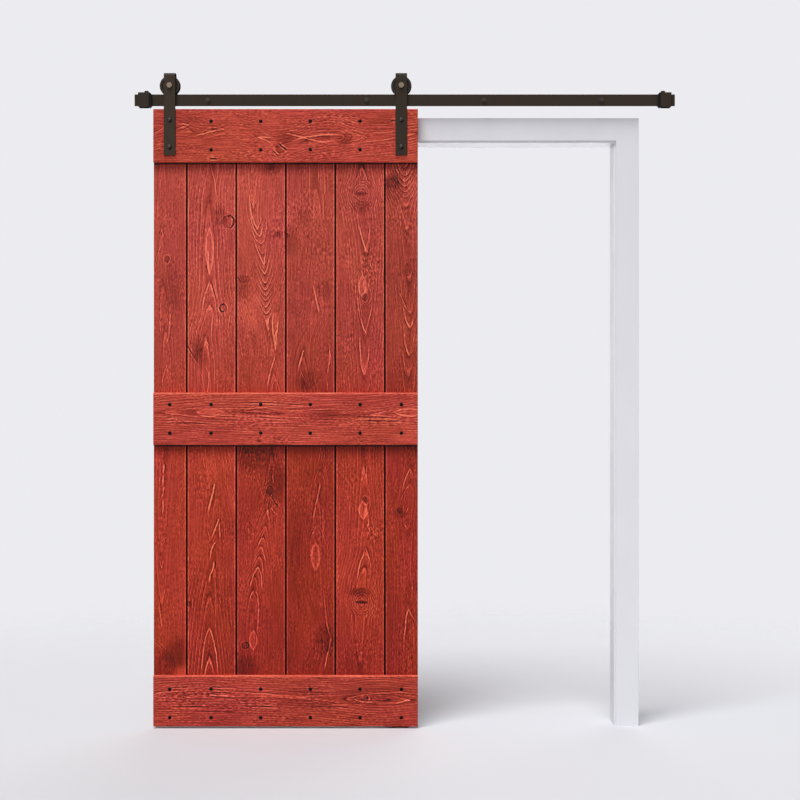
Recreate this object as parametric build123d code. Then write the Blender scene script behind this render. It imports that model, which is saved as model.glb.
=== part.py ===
from build123d import *
import math
import os

# Sliding barn door, seen from its face side: X runs to the right, Z up, and depth is
# measured out from the wall, so that a point at depth d lies at Y = -d.
# The origin is the middle of the rail's bolt line, on the face of the wall.
# All sizes are in millimetres.

# Door leaf
door_height = 2133.6
outer_plank_width = 114.3
inner_plank_width = 171.45
inner_plank_count = 4
plank_thickness = 19.0
door_to_casing_gap = 9.0

# Joints between the planks
tongue_thickness = 6.0
tongue_length = 6.5
tongue_clearance = 0.2
front_vee = 3.0
back_vee = 1.5
board_ease = 1.5

# Battens: how far each one's upper edge lies below the top of the leaf, its width,
# and how far its upper row of screws lies below its own upper edge
batten_thickness = 16.0
batten_ease = 2.5
top_batten_width = 184.0
middle_batten_drop = 980.0
middle_batten_width = 181.0
bottom_batten_width = 176.0
top_screw_inset = 42.0
middle_screw_inset = 41.0
bottom_screw_inset = 46.5
screw_row_spacing = 98.4

# Batten screws
batten_screw_radius = 2.0
batten_screw_length = 31.0
batten_screw_head_radius = 6.2
batten_screw_head_height = 3.0
wood_hole_clearance = 0.05

# Flat rail and its wall fixings
rail_height = 40.0
rail_thickness = 6.0
rail_ease = 0.8
rail_end_to_bolt = 254.0
rail_first_bay = 549.0
stud_spacing = 406.4
door_to_rail_gap = 12.0
standoff_radius = 10.0
lag_radius = 4.0
lag_shank_radius = 3.8
lag_length = 105.0
lag_point_length = 10.0
lag_hole_clearance = 0.25
lag_head_across_flats = 13.0
lag_head_height = 5.2
lag_washer_radius = 10.0
lag_washer_thickness = 1.8

# Wheels, grooved to ride on the upper edge of the rail
wheel_groove_radius = 28.5
wheel_flange_depth = 7.0
wheel_width = 20.0
wheel_side_gap = 3.0
groove_side_clearance = 1.0
groove_flare = 1.2
wheel_on_rail_clearance = 0.2
wheel_rim_ease = 2.5
wheel_hub_radius = 23.5
wheel_web_recess = 2.5
wheel_rim_wall = 1.0
wheel_lip = 1.6

# Ball bearing in each wheel
bearing_bore_radius = 6.0
bearing_outer_radius = 14.0
bearing_width = 8.0
bearing_race_wall = 2.3
ball_radius = 2.4
ball_count = 8
ball_clearance = 0.05
cage_half_thickness = 0.8
cage_width = 6.2
bearing_seat_clearance = 0.02

# Axles
axle_radius = 6.0
axle_clearance = 0.05
axle_across_flats = 18.0
axle_head_height = 7.5
axle_nut_height = 7.0
axle_end_stand = 2.5
spacer_radius = 8.5

# Hangers: a strap bent over each wheel, bolted to the face of the leaf
strap_width = 40.0
strap_thickness = 5.0
strap_inner_bend = 6.0
strap_over_wheel = 3.5
strap_back_leg_below_axle = 21.0
strap_corner = 2.0
strap_edge_ease = 0.6
strap_bolt_drop = 38.5
strap_bolt_spacing = 93.3
strap_end_distance = 29.0
strap_bolt_radius = 4.0
strap_bolt_clearance = 0.2
strap_bolt_head_radius = 8.5
strap_bolt_head_height = 4.6
strap_bolt_head_rim = 1.0
strap_bolt_end_gap = 2.0
sleeve_radius = 5.25
sleeve_length = 24.0
sleeve_head_radius = 10.0
sleeve_head_thickness = 2.5
sleeve_floor = 3.0
sleeve_slot_width = 1.6
sleeve_slot_depth = 1.2
sleeve_hole_clearance = 0.25
thread_clearance = 0.05

# Discs on the upper edge of the leaf that keep it from jumping off the rail
disc_radius = 15.0
disc_thickness = 8.0
disc_screw_radius = 2.5
disc_screw_length = 26.0
disc_screw_head_radius = 5.0

# End stops clamped on the rail
stop_inset = 13.0
stop_length = 38.0
stop_depth = 24.0
stop_wall = 6.0
stop_chamfer = 4.0
stop_edge_ease = 0.8
stop_slot_clearance = 0.1
bumper_length = 9.0
bumper_chamfer = 6.5
stop_screw_radius = 3.0
stop_screw_inset = 10.0
stop_screw_across_flats = 13.0
stop_screw_head_height = 6.0
rest_gap = 27.4
stop_contact_gap = 0.3

# Doorway: a jamb lining the opening and a flat casing round it
floor_gap = 7.0
head_lap = 108.6
rest_lap = 26.3
closed_lap = 180.6
jamb_thickness = 18.0
jamb_depth = 120.0
casing_width = 79.0
casing_thickness = 12.0
casing_reveal = 5.0
casing_ease = 1.5

# Guide at the foot of the casing, with a fin in a groove under the leaf
guide_fin_thickness = 4.0
guide_fin_length = 26.0
guide_fin_rise = 13.0
guide_plate_thickness = 3.0
guide_plate_height = 55.0
guide_plate_length = 58.0
guide_casing_margin = 20.0
guide_screw_margin = 11.0
guide_screw_spacing = 30.0
guide_screw_height = 38.0
guide_screw_radius = 2.0
guide_screw_length = 38.0
guide_screw_head_radius = 4.2
floor_groove_width = 7.0
floor_groove_depth = 19.0

# Depths in front of the wall
door_back = casing_thickness + door_to_casing_gap
plank_front = door_back + plank_thickness
plank_middle = (door_back + plank_front) / 2
door_front = plank_front + batten_thickness
strap_gap = wheel_width + 2 * wheel_side_gap
strap_front = door_front + strap_thickness
strap_back = door_front - strap_gap - strap_thickness
wheel_middle = door_front - strap_gap / 2
rail_back = wheel_middle - rail_thickness / 2
rail_front = wheel_middle + rail_thickness / 2
lag_head_back = rail_front + lag_washer_thickness

# Heights about the rail's middle line
rail_top = rail_height / 2
door_top = -rail_height / 2 - door_to_rail_gap
door_bottom = door_top - door_height
floor_level = door_bottom - floor_gap
opening_top = door_top - head_lap
wheel_radius = wheel_groove_radius + wheel_flange_depth
axle_level = rail_top + wheel_on_rail_clearance + wheel_groove_radius
strap_inner_top = axle_level + wheel_radius + strap_over_wheel
strap_top = strap_inner_top + strap_thickness
strap_bolt_levels = [door_top - strap_bolt_drop, door_top - strap_bolt_drop - strap_bolt_spacing]
strap_bottom = strap_bolt_levels[-1] - strap_end_distance

# Places along the rail
rail_half_length = rail_end_to_bolt + (rail_first_bay + 2 * stud_spacing) / 2
first_bolt = rail_end_to_bolt - rail_half_length
rail_bays = [0, rail_first_bay, stud_spacing, stud_spacing]
rail_bolts = [first_bolt + sum(rail_bays[: index + 1]) for index in range(len(rail_bays))]
stop_outer = rail_half_length - stop_inset
stop_inner = stop_outer - stop_length
bumper_face = stop_inner - bumper_length

# The leaf at rest stands near the left end of the rail
door_width = 2 * outer_plank_width + inner_plank_count * inner_plank_width
hanger_offset = (door_width - outer_plank_width) / 2
hanger_left = -bumper_face + rest_gap + wheel_radius
door_middle = hanger_left + hanger_offset
hangers = {"left": hanger_left, "right": door_middle + hanger_offset}
door_left = door_middle - door_width / 2
door_right = door_middle + door_width / 2

# A wheel meets the sloping corner of a bumper with its rim
bumper_top = rail_top + stop_wall
corner_rise = axle_level - wheel_radius / math.sqrt(2) - (bumper_top - bumper_chamfer)
contact_reach = wheel_radius / math.sqrt(2) - corner_rise
travel_to_left = rest_gap + wheel_radius - contact_reach - stop_contact_gap
travel_to_right = 2 * (bumper_face - contact_reach - stop_contact_gap - hanger_offset) - travel_to_left

# The doorway is what the closed leaf laps over
opening_left = door_right - rest_lap
opening_right = door_right + travel_to_right - closed_lap
casing_left_edge = opening_left - casing_reveal - casing_width
casing_right_edge = opening_right + casing_reveal + casing_width
casing_inner_top = opening_top + casing_reveal
casing_top = casing_inner_top + casing_width
guide_left = casing_left_edge + guide_casing_margin
guide_right = guide_left + guide_plate_length

upward = (Align.CENTER, Align.CENTER, Align.MIN)
downward = (Align.CENTER, Align.CENTER, Align.MAX)


def block(x_span, depth_span, z_span):
    """A square-edged block between two places in each direction."""
    middle_x = sum(x_span) / 2
    middle_depth = sum(depth_span) / 2
    middle_z = sum(z_span) / 2
    size = [abs(span[1] - span[0]) for span in (x_span, depth_span, z_span)]
    return Pos(middle_x, -middle_depth, middle_z) * Box(*size)


def facing_out(x, depth, z):
    """A place whose own Z axis points away from the wall."""
    return Pos(x, -depth, z) * Rot(90, 0, 0)


def facing_wall(x, depth, z):
    """A place whose own Z axis points to the wall."""
    return Pos(x, -depth, z) * Rot(-90, 0, 0)


def rod(radius, x, depth_span, z):
    """A round bar square to the wall."""
    low, high = sorted(depth_span)
    return facing_out(x, low, z) * Cylinder(radius, high - low, align=upward)


def turned(outline):
    """A round solid about its own Z axis from a half section of (radius, height) points."""
    section = Polyline(*[(radius, 0, height) for radius, height in outline], close=True)
    return revolve(make_face(section), Axis.Z)


def dome(radius, height, rim):
    """A round head with a low rim under a rounded crown, standing on its own Z axis."""
    crown = height - rim
    ball = (radius**2 + crown**2) / (2 * crown)
    return Cylinder(radius, height, align=upward) & Pos(0, 0, height - ball) * Sphere(ball)


def hexagon_head(across_flats, height):
    """A hexagon head with its upper corners turned off."""
    flat = across_flats / 2
    corner = flat / math.cos(math.pi / 6)
    cut = corner - flat
    turning = turned([(0, 0), (corner, 0), (corner, height - cut / 2), (flat, height), (0, height)])
    return extrude(RegularPolygon(flat, 6, major_radius=False), amount=height) & turning


def countersunk_screw(radius, length, head_radius):
    """A countersunk screw: its head's face at height 0, its pointed shank below."""
    cone = head_radius - radius
    point = 2 * radius
    outline = [(0, 0), (head_radius, 0), (radius, -cone), (radius, point - length), (0, -length)]
    return turned(outline)


def side_points(edge, inward, joint, clearance):
    """One edge of a plank in plan, from its face to its back, as (x, depth) points.

    inward is 1 where the plank lies to the right of this edge and -1 where it lies left.
    """
    if joint == "square":
        return [
            (edge + inward * board_ease, plank_front),
            (edge, plank_front - board_ease),
            (edge, door_back + board_ease),
            (edge + inward * board_ease, door_back),
        ]
    reach = edge + tongue_length + clearance
    half = tongue_thickness / 2 + clearance
    return [
        (edge + inward * front_vee, plank_front),
        (edge, plank_front - front_vee),
        (edge, plank_middle + half),
        (reach, plank_middle + half),
        (reach, plank_middle - half),
        (edge, plank_middle - half),
        (edge, door_back + back_vee),
        (edge + inward * back_vee, door_back),
    ]


def plank_blank(left, right, left_joint, right_joint):
    """A plank with a groove in its left edge and a tongue on its right edge, where asked."""
    left_side = side_points(left, 1, left_joint, tongue_clearance)
    right_side = side_points(right, -1, right_joint, 0)
    outline = left_side + right_side[::-1]
    section = make_face(Polyline(*[(x, -depth) for x, depth in outline], close=True))
    return Pos(0, 0, door_bottom) * extrude(section, amount=door_height, dir=(0, 0, 1))


def plank_spans():
    """The left and right edges of the planks, in order."""
    widths = [outer_plank_width] + [inner_plank_width] * inner_plank_count + [outer_plank_width]
    edges = [door_left]
    for width in widths:
        edges.append(edges[-1] + width)
    return list(zip(edges[:-1], edges[1:]))


def batten_rows():
    """Each batten's upper edge, lower edge and two rows of screws."""
    tops = {
        "top": (door_top, top_batten_width, top_screw_inset),
        "middle": (door_top - middle_batten_drop, middle_batten_width, middle_screw_inset),
        "bottom": (door_bottom + bottom_batten_width, bottom_batten_width, bottom_screw_inset),
    }
    rows = {}
    for name, (upper, width, inset) in tops.items():
        rows[name] = (upper, upper - width, [upper - inset, upper - inset - screw_row_spacing])
    return rows


def batten_screw_places(name):
    """The screws of one batten: one in each row at the middle of each plank it is screwed to.

    The straps bolt the top batten to the outer planks, so it has no screws there.
    """
    middles = [(left + right) / 2 for left, right in plank_spans()]
    if name == "top":
        middles = middles[1:-1]
    return [(x, z) for z in batten_rows()[name][2] for x in middles]


def screw_tip_depth():
    """The depth at which a batten screw ends, inside its plank."""
    return door_front - batten_screw_length


def batten_screw_holes():
    """What the batten screws take out of the battens and planks."""
    radius = batten_screw_radius + wood_hole_clearance
    depth_span = (screw_tip_depth() - wood_hole_clearance, door_front + 1)
    places = [place for name in batten_rows() for place in batten_screw_places(name)]
    return [rod(radius, x, depth_span, z) for x, z in places]


def hanger_holes():
    """What the strap bolts and their sleeve nuts take out of the leaf."""
    cuts = []
    for x in hangers.values():
        for z in strap_bolt_levels:
            radius = sleeve_radius + sleeve_hole_clearance
            recess = sleeve_head_radius + sleeve_hole_clearance
            cuts.append(rod(radius, x, (door_back - 1, door_front + 1), z))
            cuts.append(rod(recess, x, (door_back - 1, door_back + sleeve_head_thickness), z))
    return cuts


def disc_screw_holes():
    """What the screws of the anti-jump discs take out of the leaf's upper edge."""
    radius = disc_screw_radius + wood_hole_clearance
    length = disc_screw_length - disc_thickness + wood_hole_clearance
    hole = Cylinder(radius, length + 1, align=downward)
    return [Pos(x, -plank_middle, door_top + 1) * hole for x in hangers.values()]


def floor_groove():
    """The groove along the foot of the leaf that the guide's fin runs in."""
    x_span = (door_left - 1, door_right + 1)
    depth_span = (plank_middle - floor_groove_width / 2, plank_middle + floor_groove_width / 2)
    return block(x_span, depth_span, (door_bottom - 1, door_bottom + floor_groove_depth))


def planks():
    """The six planks of the leaf, with their joints, groove and holes."""
    spans = plank_spans()
    cuts = [floor_groove()] + batten_screw_holes() + hanger_holes() + disc_screw_holes()
    pieces = {}
    for index, (left, right) in enumerate(spans):
        left_joint = "square" if index == 0 else "groove"
        right_joint = "square" if index == len(spans) - 1 else "tongue"
        blank = plank_blank(left, right, left_joint, right_joint)
        inside = [cut for cut in cuts if reaches(cut, left, right + tongue_length)]
        pieces[f"plank_{index + 1}"] = blank - inside
    return pieces


def reaches(cut, left, right):
    """Whether a cut meets the stretch between two places along X."""
    box = cut.bounding_box()
    return box.max.X > left and box.min.X < right


def battens():
    """The three battens across the face of the leaf."""
    cuts = batten_screw_holes() + hanger_holes()
    pieces = {}
    for name, (upper, lower, _) in batten_rows().items():
        board = block((door_left, door_right), (plank_front, door_front), (lower, upper))
        board = fillet(board.faces().sort_by(Axis.Y)[0].edges(), batten_ease)
        inside = [cut for cut in cuts if lower < cut.bounding_box().center().Z < upper]
        pieces[f"batten_{name}"] = board - inside
    return pieces


def batten_screws():
    """The dome-headed screws of each batten, one group for each batten."""
    head = dome(batten_screw_head_radius, batten_screw_head_height, batten_screw_head_height / 6)
    screw = head + Cylinder(batten_screw_radius, batten_screw_length, align=downward)
    pieces = {}
    for name in batten_rows():
        places = batten_screw_places(name)
        pieces[f"screws_batten_{name}"] = [facing_out(x, door_front, z) * screw for x, z in places]
    return pieces


def hanger_strap(x):
    """A strap bent over the wheel, with a long leg on the leaf and a short one behind."""
    half = strap_width / 2
    outside = block((x - half, x + half), (strap_back, strap_front), (strap_bottom, strap_top))
    outside = fillet(upper_edges(outside), strap_inner_bend + strap_thickness)
    inner_depths = (strap_back + strap_thickness, door_front)
    cut_width = (x - half - 1, x + half + 1)
    inside = block(cut_width, inner_depths, (strap_bottom - 1, strap_inner_top))
    inside = fillet(upper_edges(inside), strap_inner_bend)
    back_leg_end = axle_level - strap_back_leg_below_axle
    below = block(cut_width, (strap_back - 1, door_front), (strap_bottom - 1, back_leg_end))
    strap = outside - inside - below
    strap = fillet(strap.edges().filter_by(Axis.Y).group_by(Axis.Z)[0], strap_corner)
    sides = strap.faces().filter_by(Axis.X)
    strap = chamfer([edge for side in sides for edge in side.edges()], strap_edge_ease)
    axle_hole = rod(axle_radius + axle_clearance, x, (strap_back - 1, strap_front + 1), axle_level)
    bolt_hole = strap_bolt_radius + strap_bolt_clearance
    bolt_holes = [rod(bolt_hole, x, (door_front - 1, strap_front + 1), z) for z in strap_bolt_levels]
    return strap - [axle_hole] - bolt_holes


def upper_edges(solid):
    """The edges along X at the top of a solid."""
    return solid.edges().filter_by(Axis.X).group_by(Axis.Z)[-1]


def strap_bolts(x):
    """The two dome-headed bolts of one strap."""
    head = dome(strap_bolt_head_radius, strap_bolt_head_height, strap_bolt_head_rim)
    length = strap_front - door_back - sleeve_floor - strap_bolt_end_gap
    shank = Cylinder(strap_bolt_radius, length, align=downward)
    return [facing_out(x, strap_front, z) * (head + shank) for z in strap_bolt_levels]


def sleeve_nuts(x):
    """The two sleeve nuts let into the back of the leaf behind one strap."""
    shell = turned(
        [
            (0, 0),
            (sleeve_head_radius, 0),
            (sleeve_head_radius, sleeve_head_thickness),
            (sleeve_radius, sleeve_head_thickness),
            (sleeve_radius, sleeve_length),
            (strap_bolt_radius + thread_clearance, sleeve_length),
            (strap_bolt_radius + thread_clearance, sleeve_floor),
            (0, sleeve_floor),
        ]
    )
    driver_slot = Box(2 * sleeve_radius, sleeve_slot_width, 2 * sleeve_slot_depth)
    nut = shell - driver_slot
    return [facing_out(x, door_back, z) * nut for z in strap_bolt_levels]


def wheel(x):
    """A wheel with a groove for the rail, a dished web and a seat for its bearing."""
    half = wheel_width / 2
    groove = rail_thickness / 2 + groove_side_clearance
    web = half - wheel_web_recess
    web_slope = wheel_web_recess / 2
    web_outer = wheel_groove_radius - wheel_rim_wall
    face = [
        (wheel_hub_radius, half),
        (wheel_hub_radius + web_slope, web),
        (web_outer - web_slope, web),
        (web_outer, half),
        (wheel_radius - wheel_rim_ease, half),
        (wheel_radius, half - wheel_rim_ease),
        (wheel_radius, groove + groove_flare),
        (wheel_groove_radius, groove),
    ]
    back = [(radius, -height) for radius, height in face[::-1]]
    seat = bearing_outer_radius + bearing_seat_clearance
    lip = seat - wheel_lip
    shoulder = bearing_width / 2 + bearing_seat_clearance
    bore = [(seat, -half), (seat, shoulder), (lip, shoulder), (lip, half)]
    return facing_out(x, wheel_middle, axle_level) * turned(face + back + bore)


def bearing_ring(inner, outer, x):
    """One ring of a ball bearing with its raceway."""
    half = bearing_width / 2
    ring = turned([(inner, -half), (outer, -half), (outer, half), (inner, half)])
    pitch = (bearing_bore_radius + bearing_outer_radius) / 2
    raceway = Torus(pitch, ball_radius + ball_clearance)
    return facing_out(x, wheel_middle, axle_level) * (ring - raceway)


def bearing_balls(x):
    """The balls of one bearing, evenly round the axle."""
    pitch = (bearing_bore_radius + bearing_outer_radius) / 2
    turn = 360 / ball_count
    spots = [Rot(0, 0, index * turn) * Pos(pitch, 0, 0) for index in range(ball_count)]
    return [facing_out(x, wheel_middle, axle_level) * spot * Sphere(ball_radius) for spot in spots]


def bearing_cage(x):
    """The ring that keeps the balls apart."""
    pitch = (bearing_bore_radius + bearing_outer_radius) / 2
    low = pitch - cage_half_thickness
    high = pitch + cage_half_thickness
    half = cage_width / 2
    ring = turned([(low, -half), (high, -half), (high, half), (low, half)])
    turn = 360 / ball_count
    bore = Cylinder(ball_radius + ball_clearance, 4 * cage_half_thickness)
    hole = Pos(pitch, 0, 0) * Rot(0, 90, 0) * bore
    pockets = [Rot(0, 0, index * turn) * hole for index in range(ball_count)]
    return facing_out(x, wheel_middle, axle_level) * (ring - pockets)


def axle_bolt(x):
    """The hexagon bolt that a wheel turns on."""
    head = facing_out(x, strap_front, axle_level) * hexagon_head(axle_across_flats, axle_head_height)
    end = strap_back - axle_nut_height - axle_end_stand
    return head + rod(axle_radius, x, (end, strap_front), axle_level)


def axle_nut(x):
    """The nut on the back of an axle bolt."""
    nut = facing_wall(x, strap_back, axle_level) * hexagon_head(axle_across_flats, axle_nut_height)
    hole_depths = (strap_back - axle_nut_height - 1, strap_back + 1)
    return nut - rod(axle_radius + thread_clearance, x, hole_depths, axle_level)


def axle_spacers(x):
    """The two tubes that hold the bearing midway between the legs of a strap."""
    faces = [(door_front, 1), (strap_back + strap_thickness, -1)]
    tubes = []
    for leg, side in faces:
        bearing = wheel_middle + side * bearing_width / 2
        hole = rod(axle_radius + axle_clearance, x, (leg, bearing), axle_level)
        tubes.append(rod(spacer_radius, x, (leg, bearing), axle_level) - hole)
    return tubes


def anti_jump_discs():
    """A disc at each hanger, on the upper edge of the leaf and under the rail."""
    bore = disc_screw_radius + wood_hole_clearance
    sink = disc_screw_head_radius + wood_hole_clearance
    disc = turned(
        [
            (bore, 0),
            (disc_radius, 0),
            (disc_radius, disc_thickness),
            (sink, disc_thickness),
            (bore, disc_thickness - sink + bore),
        ]
    )
    return [Pos(x, -plank_middle, door_top) * disc for x in hangers.values()]


def disc_screws():
    """The countersunk screws of the anti-jump discs."""
    screw = countersunk_screw(disc_screw_radius, disc_screw_length, disc_screw_head_radius)
    return [Pos(x, -plank_middle, door_top + disc_thickness) * screw for x in hangers.values()]


def rail():
    """The flat rail with its bolt holes."""
    ends = (-rail_half_length, rail_half_length)
    bar = block(ends, (rail_back, rail_front), (-rail_top, rail_top))
    bar = chamfer(bar.edges(), rail_ease)
    hole = lag_radius + lag_hole_clearance
    return bar - [rod(hole, x, (rail_back - 1, rail_front + 1), 0) for x in rail_bolts]


def ring(radius, x, depth_span):
    """A tube or washer round a lag bolt."""
    hole = rod(lag_radius + lag_hole_clearance, x, (depth_span[0] - 1, depth_span[1] + 1), 0)
    return rod(radius, x, depth_span, 0) - hole


def standoffs():
    """The tubes that hold the rail off the wall."""
    return [ring(standoff_radius, x, (0, rail_back)) for x in rail_bolts]


def lag_washers():
    """The washers under the heads of the lag bolts."""
    return [ring(lag_washer_radius, x, (rail_front, lag_head_back)) for x in rail_bolts]


def lag_bolts():
    """The lag bolts, through the rail and standoffs, with their thread in the wall's studs."""
    point = lag_point_length - lag_length
    outline = [
        (0, 0),
        (lag_shank_radius, 0),
        (lag_shank_radius, -lag_head_back),
        (lag_radius, -lag_head_back),
        (lag_radius, point),
        (0, -lag_length),
    ]
    bolt = hexagon_head(lag_head_across_flats, lag_head_height) + turned(outline)
    return [facing_out(x, lag_head_back, 0) * bolt for x in rail_bolts]


def stop_blank(side, near, far):
    """An end stop's outer shape, between two distances from the rail's middle."""
    depths = (wheel_middle - stop_depth / 2, wheel_middle + stop_depth / 2)
    return block((side * near, side * far), depths, (-bumper_top, bumper_top))


def rail_slot():
    """The way through the end stops for the rail."""
    ends = (-rail_half_length - 1, rail_half_length + 1)
    depths = (rail_back - stop_slot_clearance, rail_front + stop_slot_clearance)
    half = rail_top + stop_slot_clearance
    return block(ends, depths, (-half, half))


def stop_block(side):
    """The clamped block of one end stop: side is -1 at the left and 1 at the right."""
    body = stop_blank(side, stop_inner, stop_outer)
    body = chamfer(body.edges().filter_by(Axis.Y).group_by(Axis.Z)[0], stop_chamfer)
    body = chamfer(body.faces().filter_by(Axis.Y).edges(), stop_edge_ease)
    screw_foot = Pos(side * (stop_inner + stop_screw_inset), -wheel_middle, rail_top - 1)
    hole = Cylinder(stop_screw_radius + thread_clearance, 2 * stop_wall, align=upward)
    return body - rail_slot() - screw_foot * hole


def stop_bumper(side):
    """The rubber pad of one end stop, with sloping corners towards the wheel."""
    body = stop_blank(side, bumper_face, stop_inner)
    wheel_corners = body.edges().filter_by(Axis.Y).sort_by(Axis.X)[::side][:2]
    return chamfer(wheel_corners, bumper_chamfer) - rail_slot()


def stop_screws():
    """The hexagon screws that pinch the end stops onto the rail."""
    head = Pos(0, 0, stop_wall) * hexagon_head(stop_screw_across_flats, stop_screw_head_height)
    screw = head + Cylinder(stop_screw_radius, stop_wall, align=upward)
    places = [side * (stop_inner + stop_screw_inset) for side in (-1, 1)]
    return [Pos(x, -wheel_middle, rail_top) * screw for x in places]


def casing_board(corners):
    """One flat board of the casing from its corners, given as (x, z) points."""
    face = make_face(Polyline(*[(x, 0, z) for x, z in corners], close=True))
    board = extrude(face, amount=casing_thickness, dir=(0, -1, 0))
    long_edges = board.faces().sort_by(Axis.Y)[0].edges().sort_by(Edge.length)[-2:]
    return fillet(long_edges, casing_ease)


def casing():
    """The casing round the doorway, mitred at its upper corners."""
    inner_left = casing_left_edge + casing_width
    inner_right = casing_right_edge - casing_width
    left_leg = [
        (casing_left_edge, floor_level),
        (inner_left, floor_level),
        (inner_left, casing_inner_top),
        (casing_left_edge, casing_top),
    ]
    right_leg = [
        (inner_right, floor_level),
        (casing_right_edge, floor_level),
        (casing_right_edge, casing_top),
        (inner_right, casing_inner_top),
    ]
    head = [
        (inner_left, casing_inner_top),
        (inner_right, casing_inner_top),
        (casing_right_edge, casing_top),
        (casing_left_edge, casing_top),
    ]
    return {
        "casing_left": casing_board(left_leg) - guide_screw_holes(),
        "casing_right": casing_board(right_leg),
        "casing_head": casing_board(head),
    }


def jamb():
    """The lining of the opening, set back in the wall behind the casing."""
    depths = (-jamb_depth, 0)
    leg_heights = (floor_level, opening_top)
    left = block((opening_left - jamb_thickness, opening_left), depths, leg_heights)
    right = block((opening_right, opening_right + jamb_thickness), depths, leg_heights)
    head_ends = (opening_left - jamb_thickness, opening_right + jamb_thickness)
    head = block(head_ends, depths, (opening_top, opening_top + jamb_thickness))
    return {"jamb_left": left, "jamb_right": right, "jamb_head": head}


def guide_screw_places():
    """The two screws of the guide, side by side on the casing."""
    first = guide_left + guide_screw_margin
    return [first, first + guide_screw_spacing]


def guide_screw_holes():
    """What the guide's screws take out of the casing."""
    radius = guide_screw_radius + wood_hole_clearance
    z = floor_level + guide_screw_height
    return [rod(radius, x, (-1, casing_thickness + 1), z) for x in guide_screw_places()]


def guide_bracket():
    """An angle screwed to the casing, with a fin that stands in the groove under the leaf."""
    plate_front = casing_thickness + guide_plate_thickness
    fin_depths = (plank_middle - guide_fin_thickness / 2, plank_middle + guide_fin_thickness / 2)
    plate_heights = (floor_level, floor_level + guide_plate_height)
    foot_heights = (floor_level, floor_level + guide_plate_thickness)
    length = (guide_left, guide_right)
    fin_length = (guide_right - guide_fin_length, guide_right)
    plate = block(length, (casing_thickness, plate_front), plate_heights)
    foot = block(length, (casing_thickness, fin_depths[1]), foot_heights)
    fin = block(fin_length, fin_depths, (floor_level, door_bottom + guide_fin_rise))
    mouth = guide_screw_head_radius + wood_hole_clearance
    bore = guide_screw_radius + wood_hole_clearance
    end = -2 * guide_plate_thickness
    seat = turned([(0, 0), (mouth, 0), (bore, bore - mouth), (bore, end), (0, end)])
    z = floor_level + guide_screw_height
    return plate + foot + fin - [facing_out(x, plate_front, z) * seat for x in guide_screw_places()]


def guide_screws():
    """The countersunk screws that hold the guide to the casing."""
    screw = countersunk_screw(guide_screw_radius, guide_screw_length, guide_screw_head_radius)
    plate_front = casing_thickness + guide_plate_thickness
    z = floor_level + guide_screw_height
    return [facing_out(x, plate_front, z) * screw for x in guide_screw_places()]


def hanger(side, x):
    """Every piece of one hanger: strap, bolts, axle, wheel and bearing."""
    inner_wall = bearing_bore_radius + bearing_race_wall
    outer_wall = bearing_outer_radius - bearing_race_wall
    inner_bore = bearing_bore_radius + axle_clearance
    return {
        f"hanger_strap_{side}": hanger_strap(x),
        f"strap_bolts_{side}": strap_bolts(x),
        f"sleeve_nuts_{side}": sleeve_nuts(x),
        f"axle_bolt_{side}": axle_bolt(x),
        f"axle_nut_{side}": axle_nut(x),
        f"axle_spacers_{side}": axle_spacers(x),
        f"wheel_{side}": wheel(x),
        f"bearing_inner_{side}": bearing_ring(inner_bore, inner_wall, x),
        f"bearing_outer_{side}": bearing_ring(outer_wall, bearing_outer_radius, x),
        f"bearing_cage_{side}": bearing_cage(x),
        f"bearing_balls_{side}": bearing_balls(x),
    }


def wall_fittings():
    """What the wall carries beside the doorway: rail, fixings and end stops."""
    return {
        "rail": rail(),
        "standoffs": standoffs(),
        "lag_washers": lag_washers(),
        "lag_bolts": lag_bolts(),
        "stop_block_left": stop_block(-1),
        "stop_block_right": stop_block(1),
        "stop_bumper_left": stop_bumper(-1),
        "stop_bumper_right": stop_bumper(1),
        "stop_screws": stop_screws(),
        "guide_bracket": guide_bracket(),
        "guide_screws": guide_screws(),
    }


def write(name, shape):
    """Write one piece, or one group of like pieces, to its own file."""
    solids = shape if isinstance(shape, list) else [shape]
    solids = [solid for item in solids for solid in item.solids()]
    whole = solids[0] if len(solids) == 1 else Compound(children=solids)
    whole.label = name
    export_step(whole, f"parts/{name}.step")


def all_pieces():
    """Every piece of the door by name."""
    pieces = {**planks(), **battens(), **batten_screws()}
    for side, x in hangers.items():
        pieces.update(hanger(side, x))
    pieces["anti_jump_discs"] = anti_jump_discs()
    pieces["disc_screws"] = disc_screws()
    pieces.update(wall_fittings())
    pieces.update(casing())
    pieces.update(jamb())
    return pieces


os.makedirs("parts", exist_ok=True)
for piece_name, piece in all_pieces().items():
    write(piece_name, piece)
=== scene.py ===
"""Looks of a sliding barn door in red-stained pine, on a pale floor."""

import inspect
import math
from collections import namedtuple
from functools import partialmethod

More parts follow.
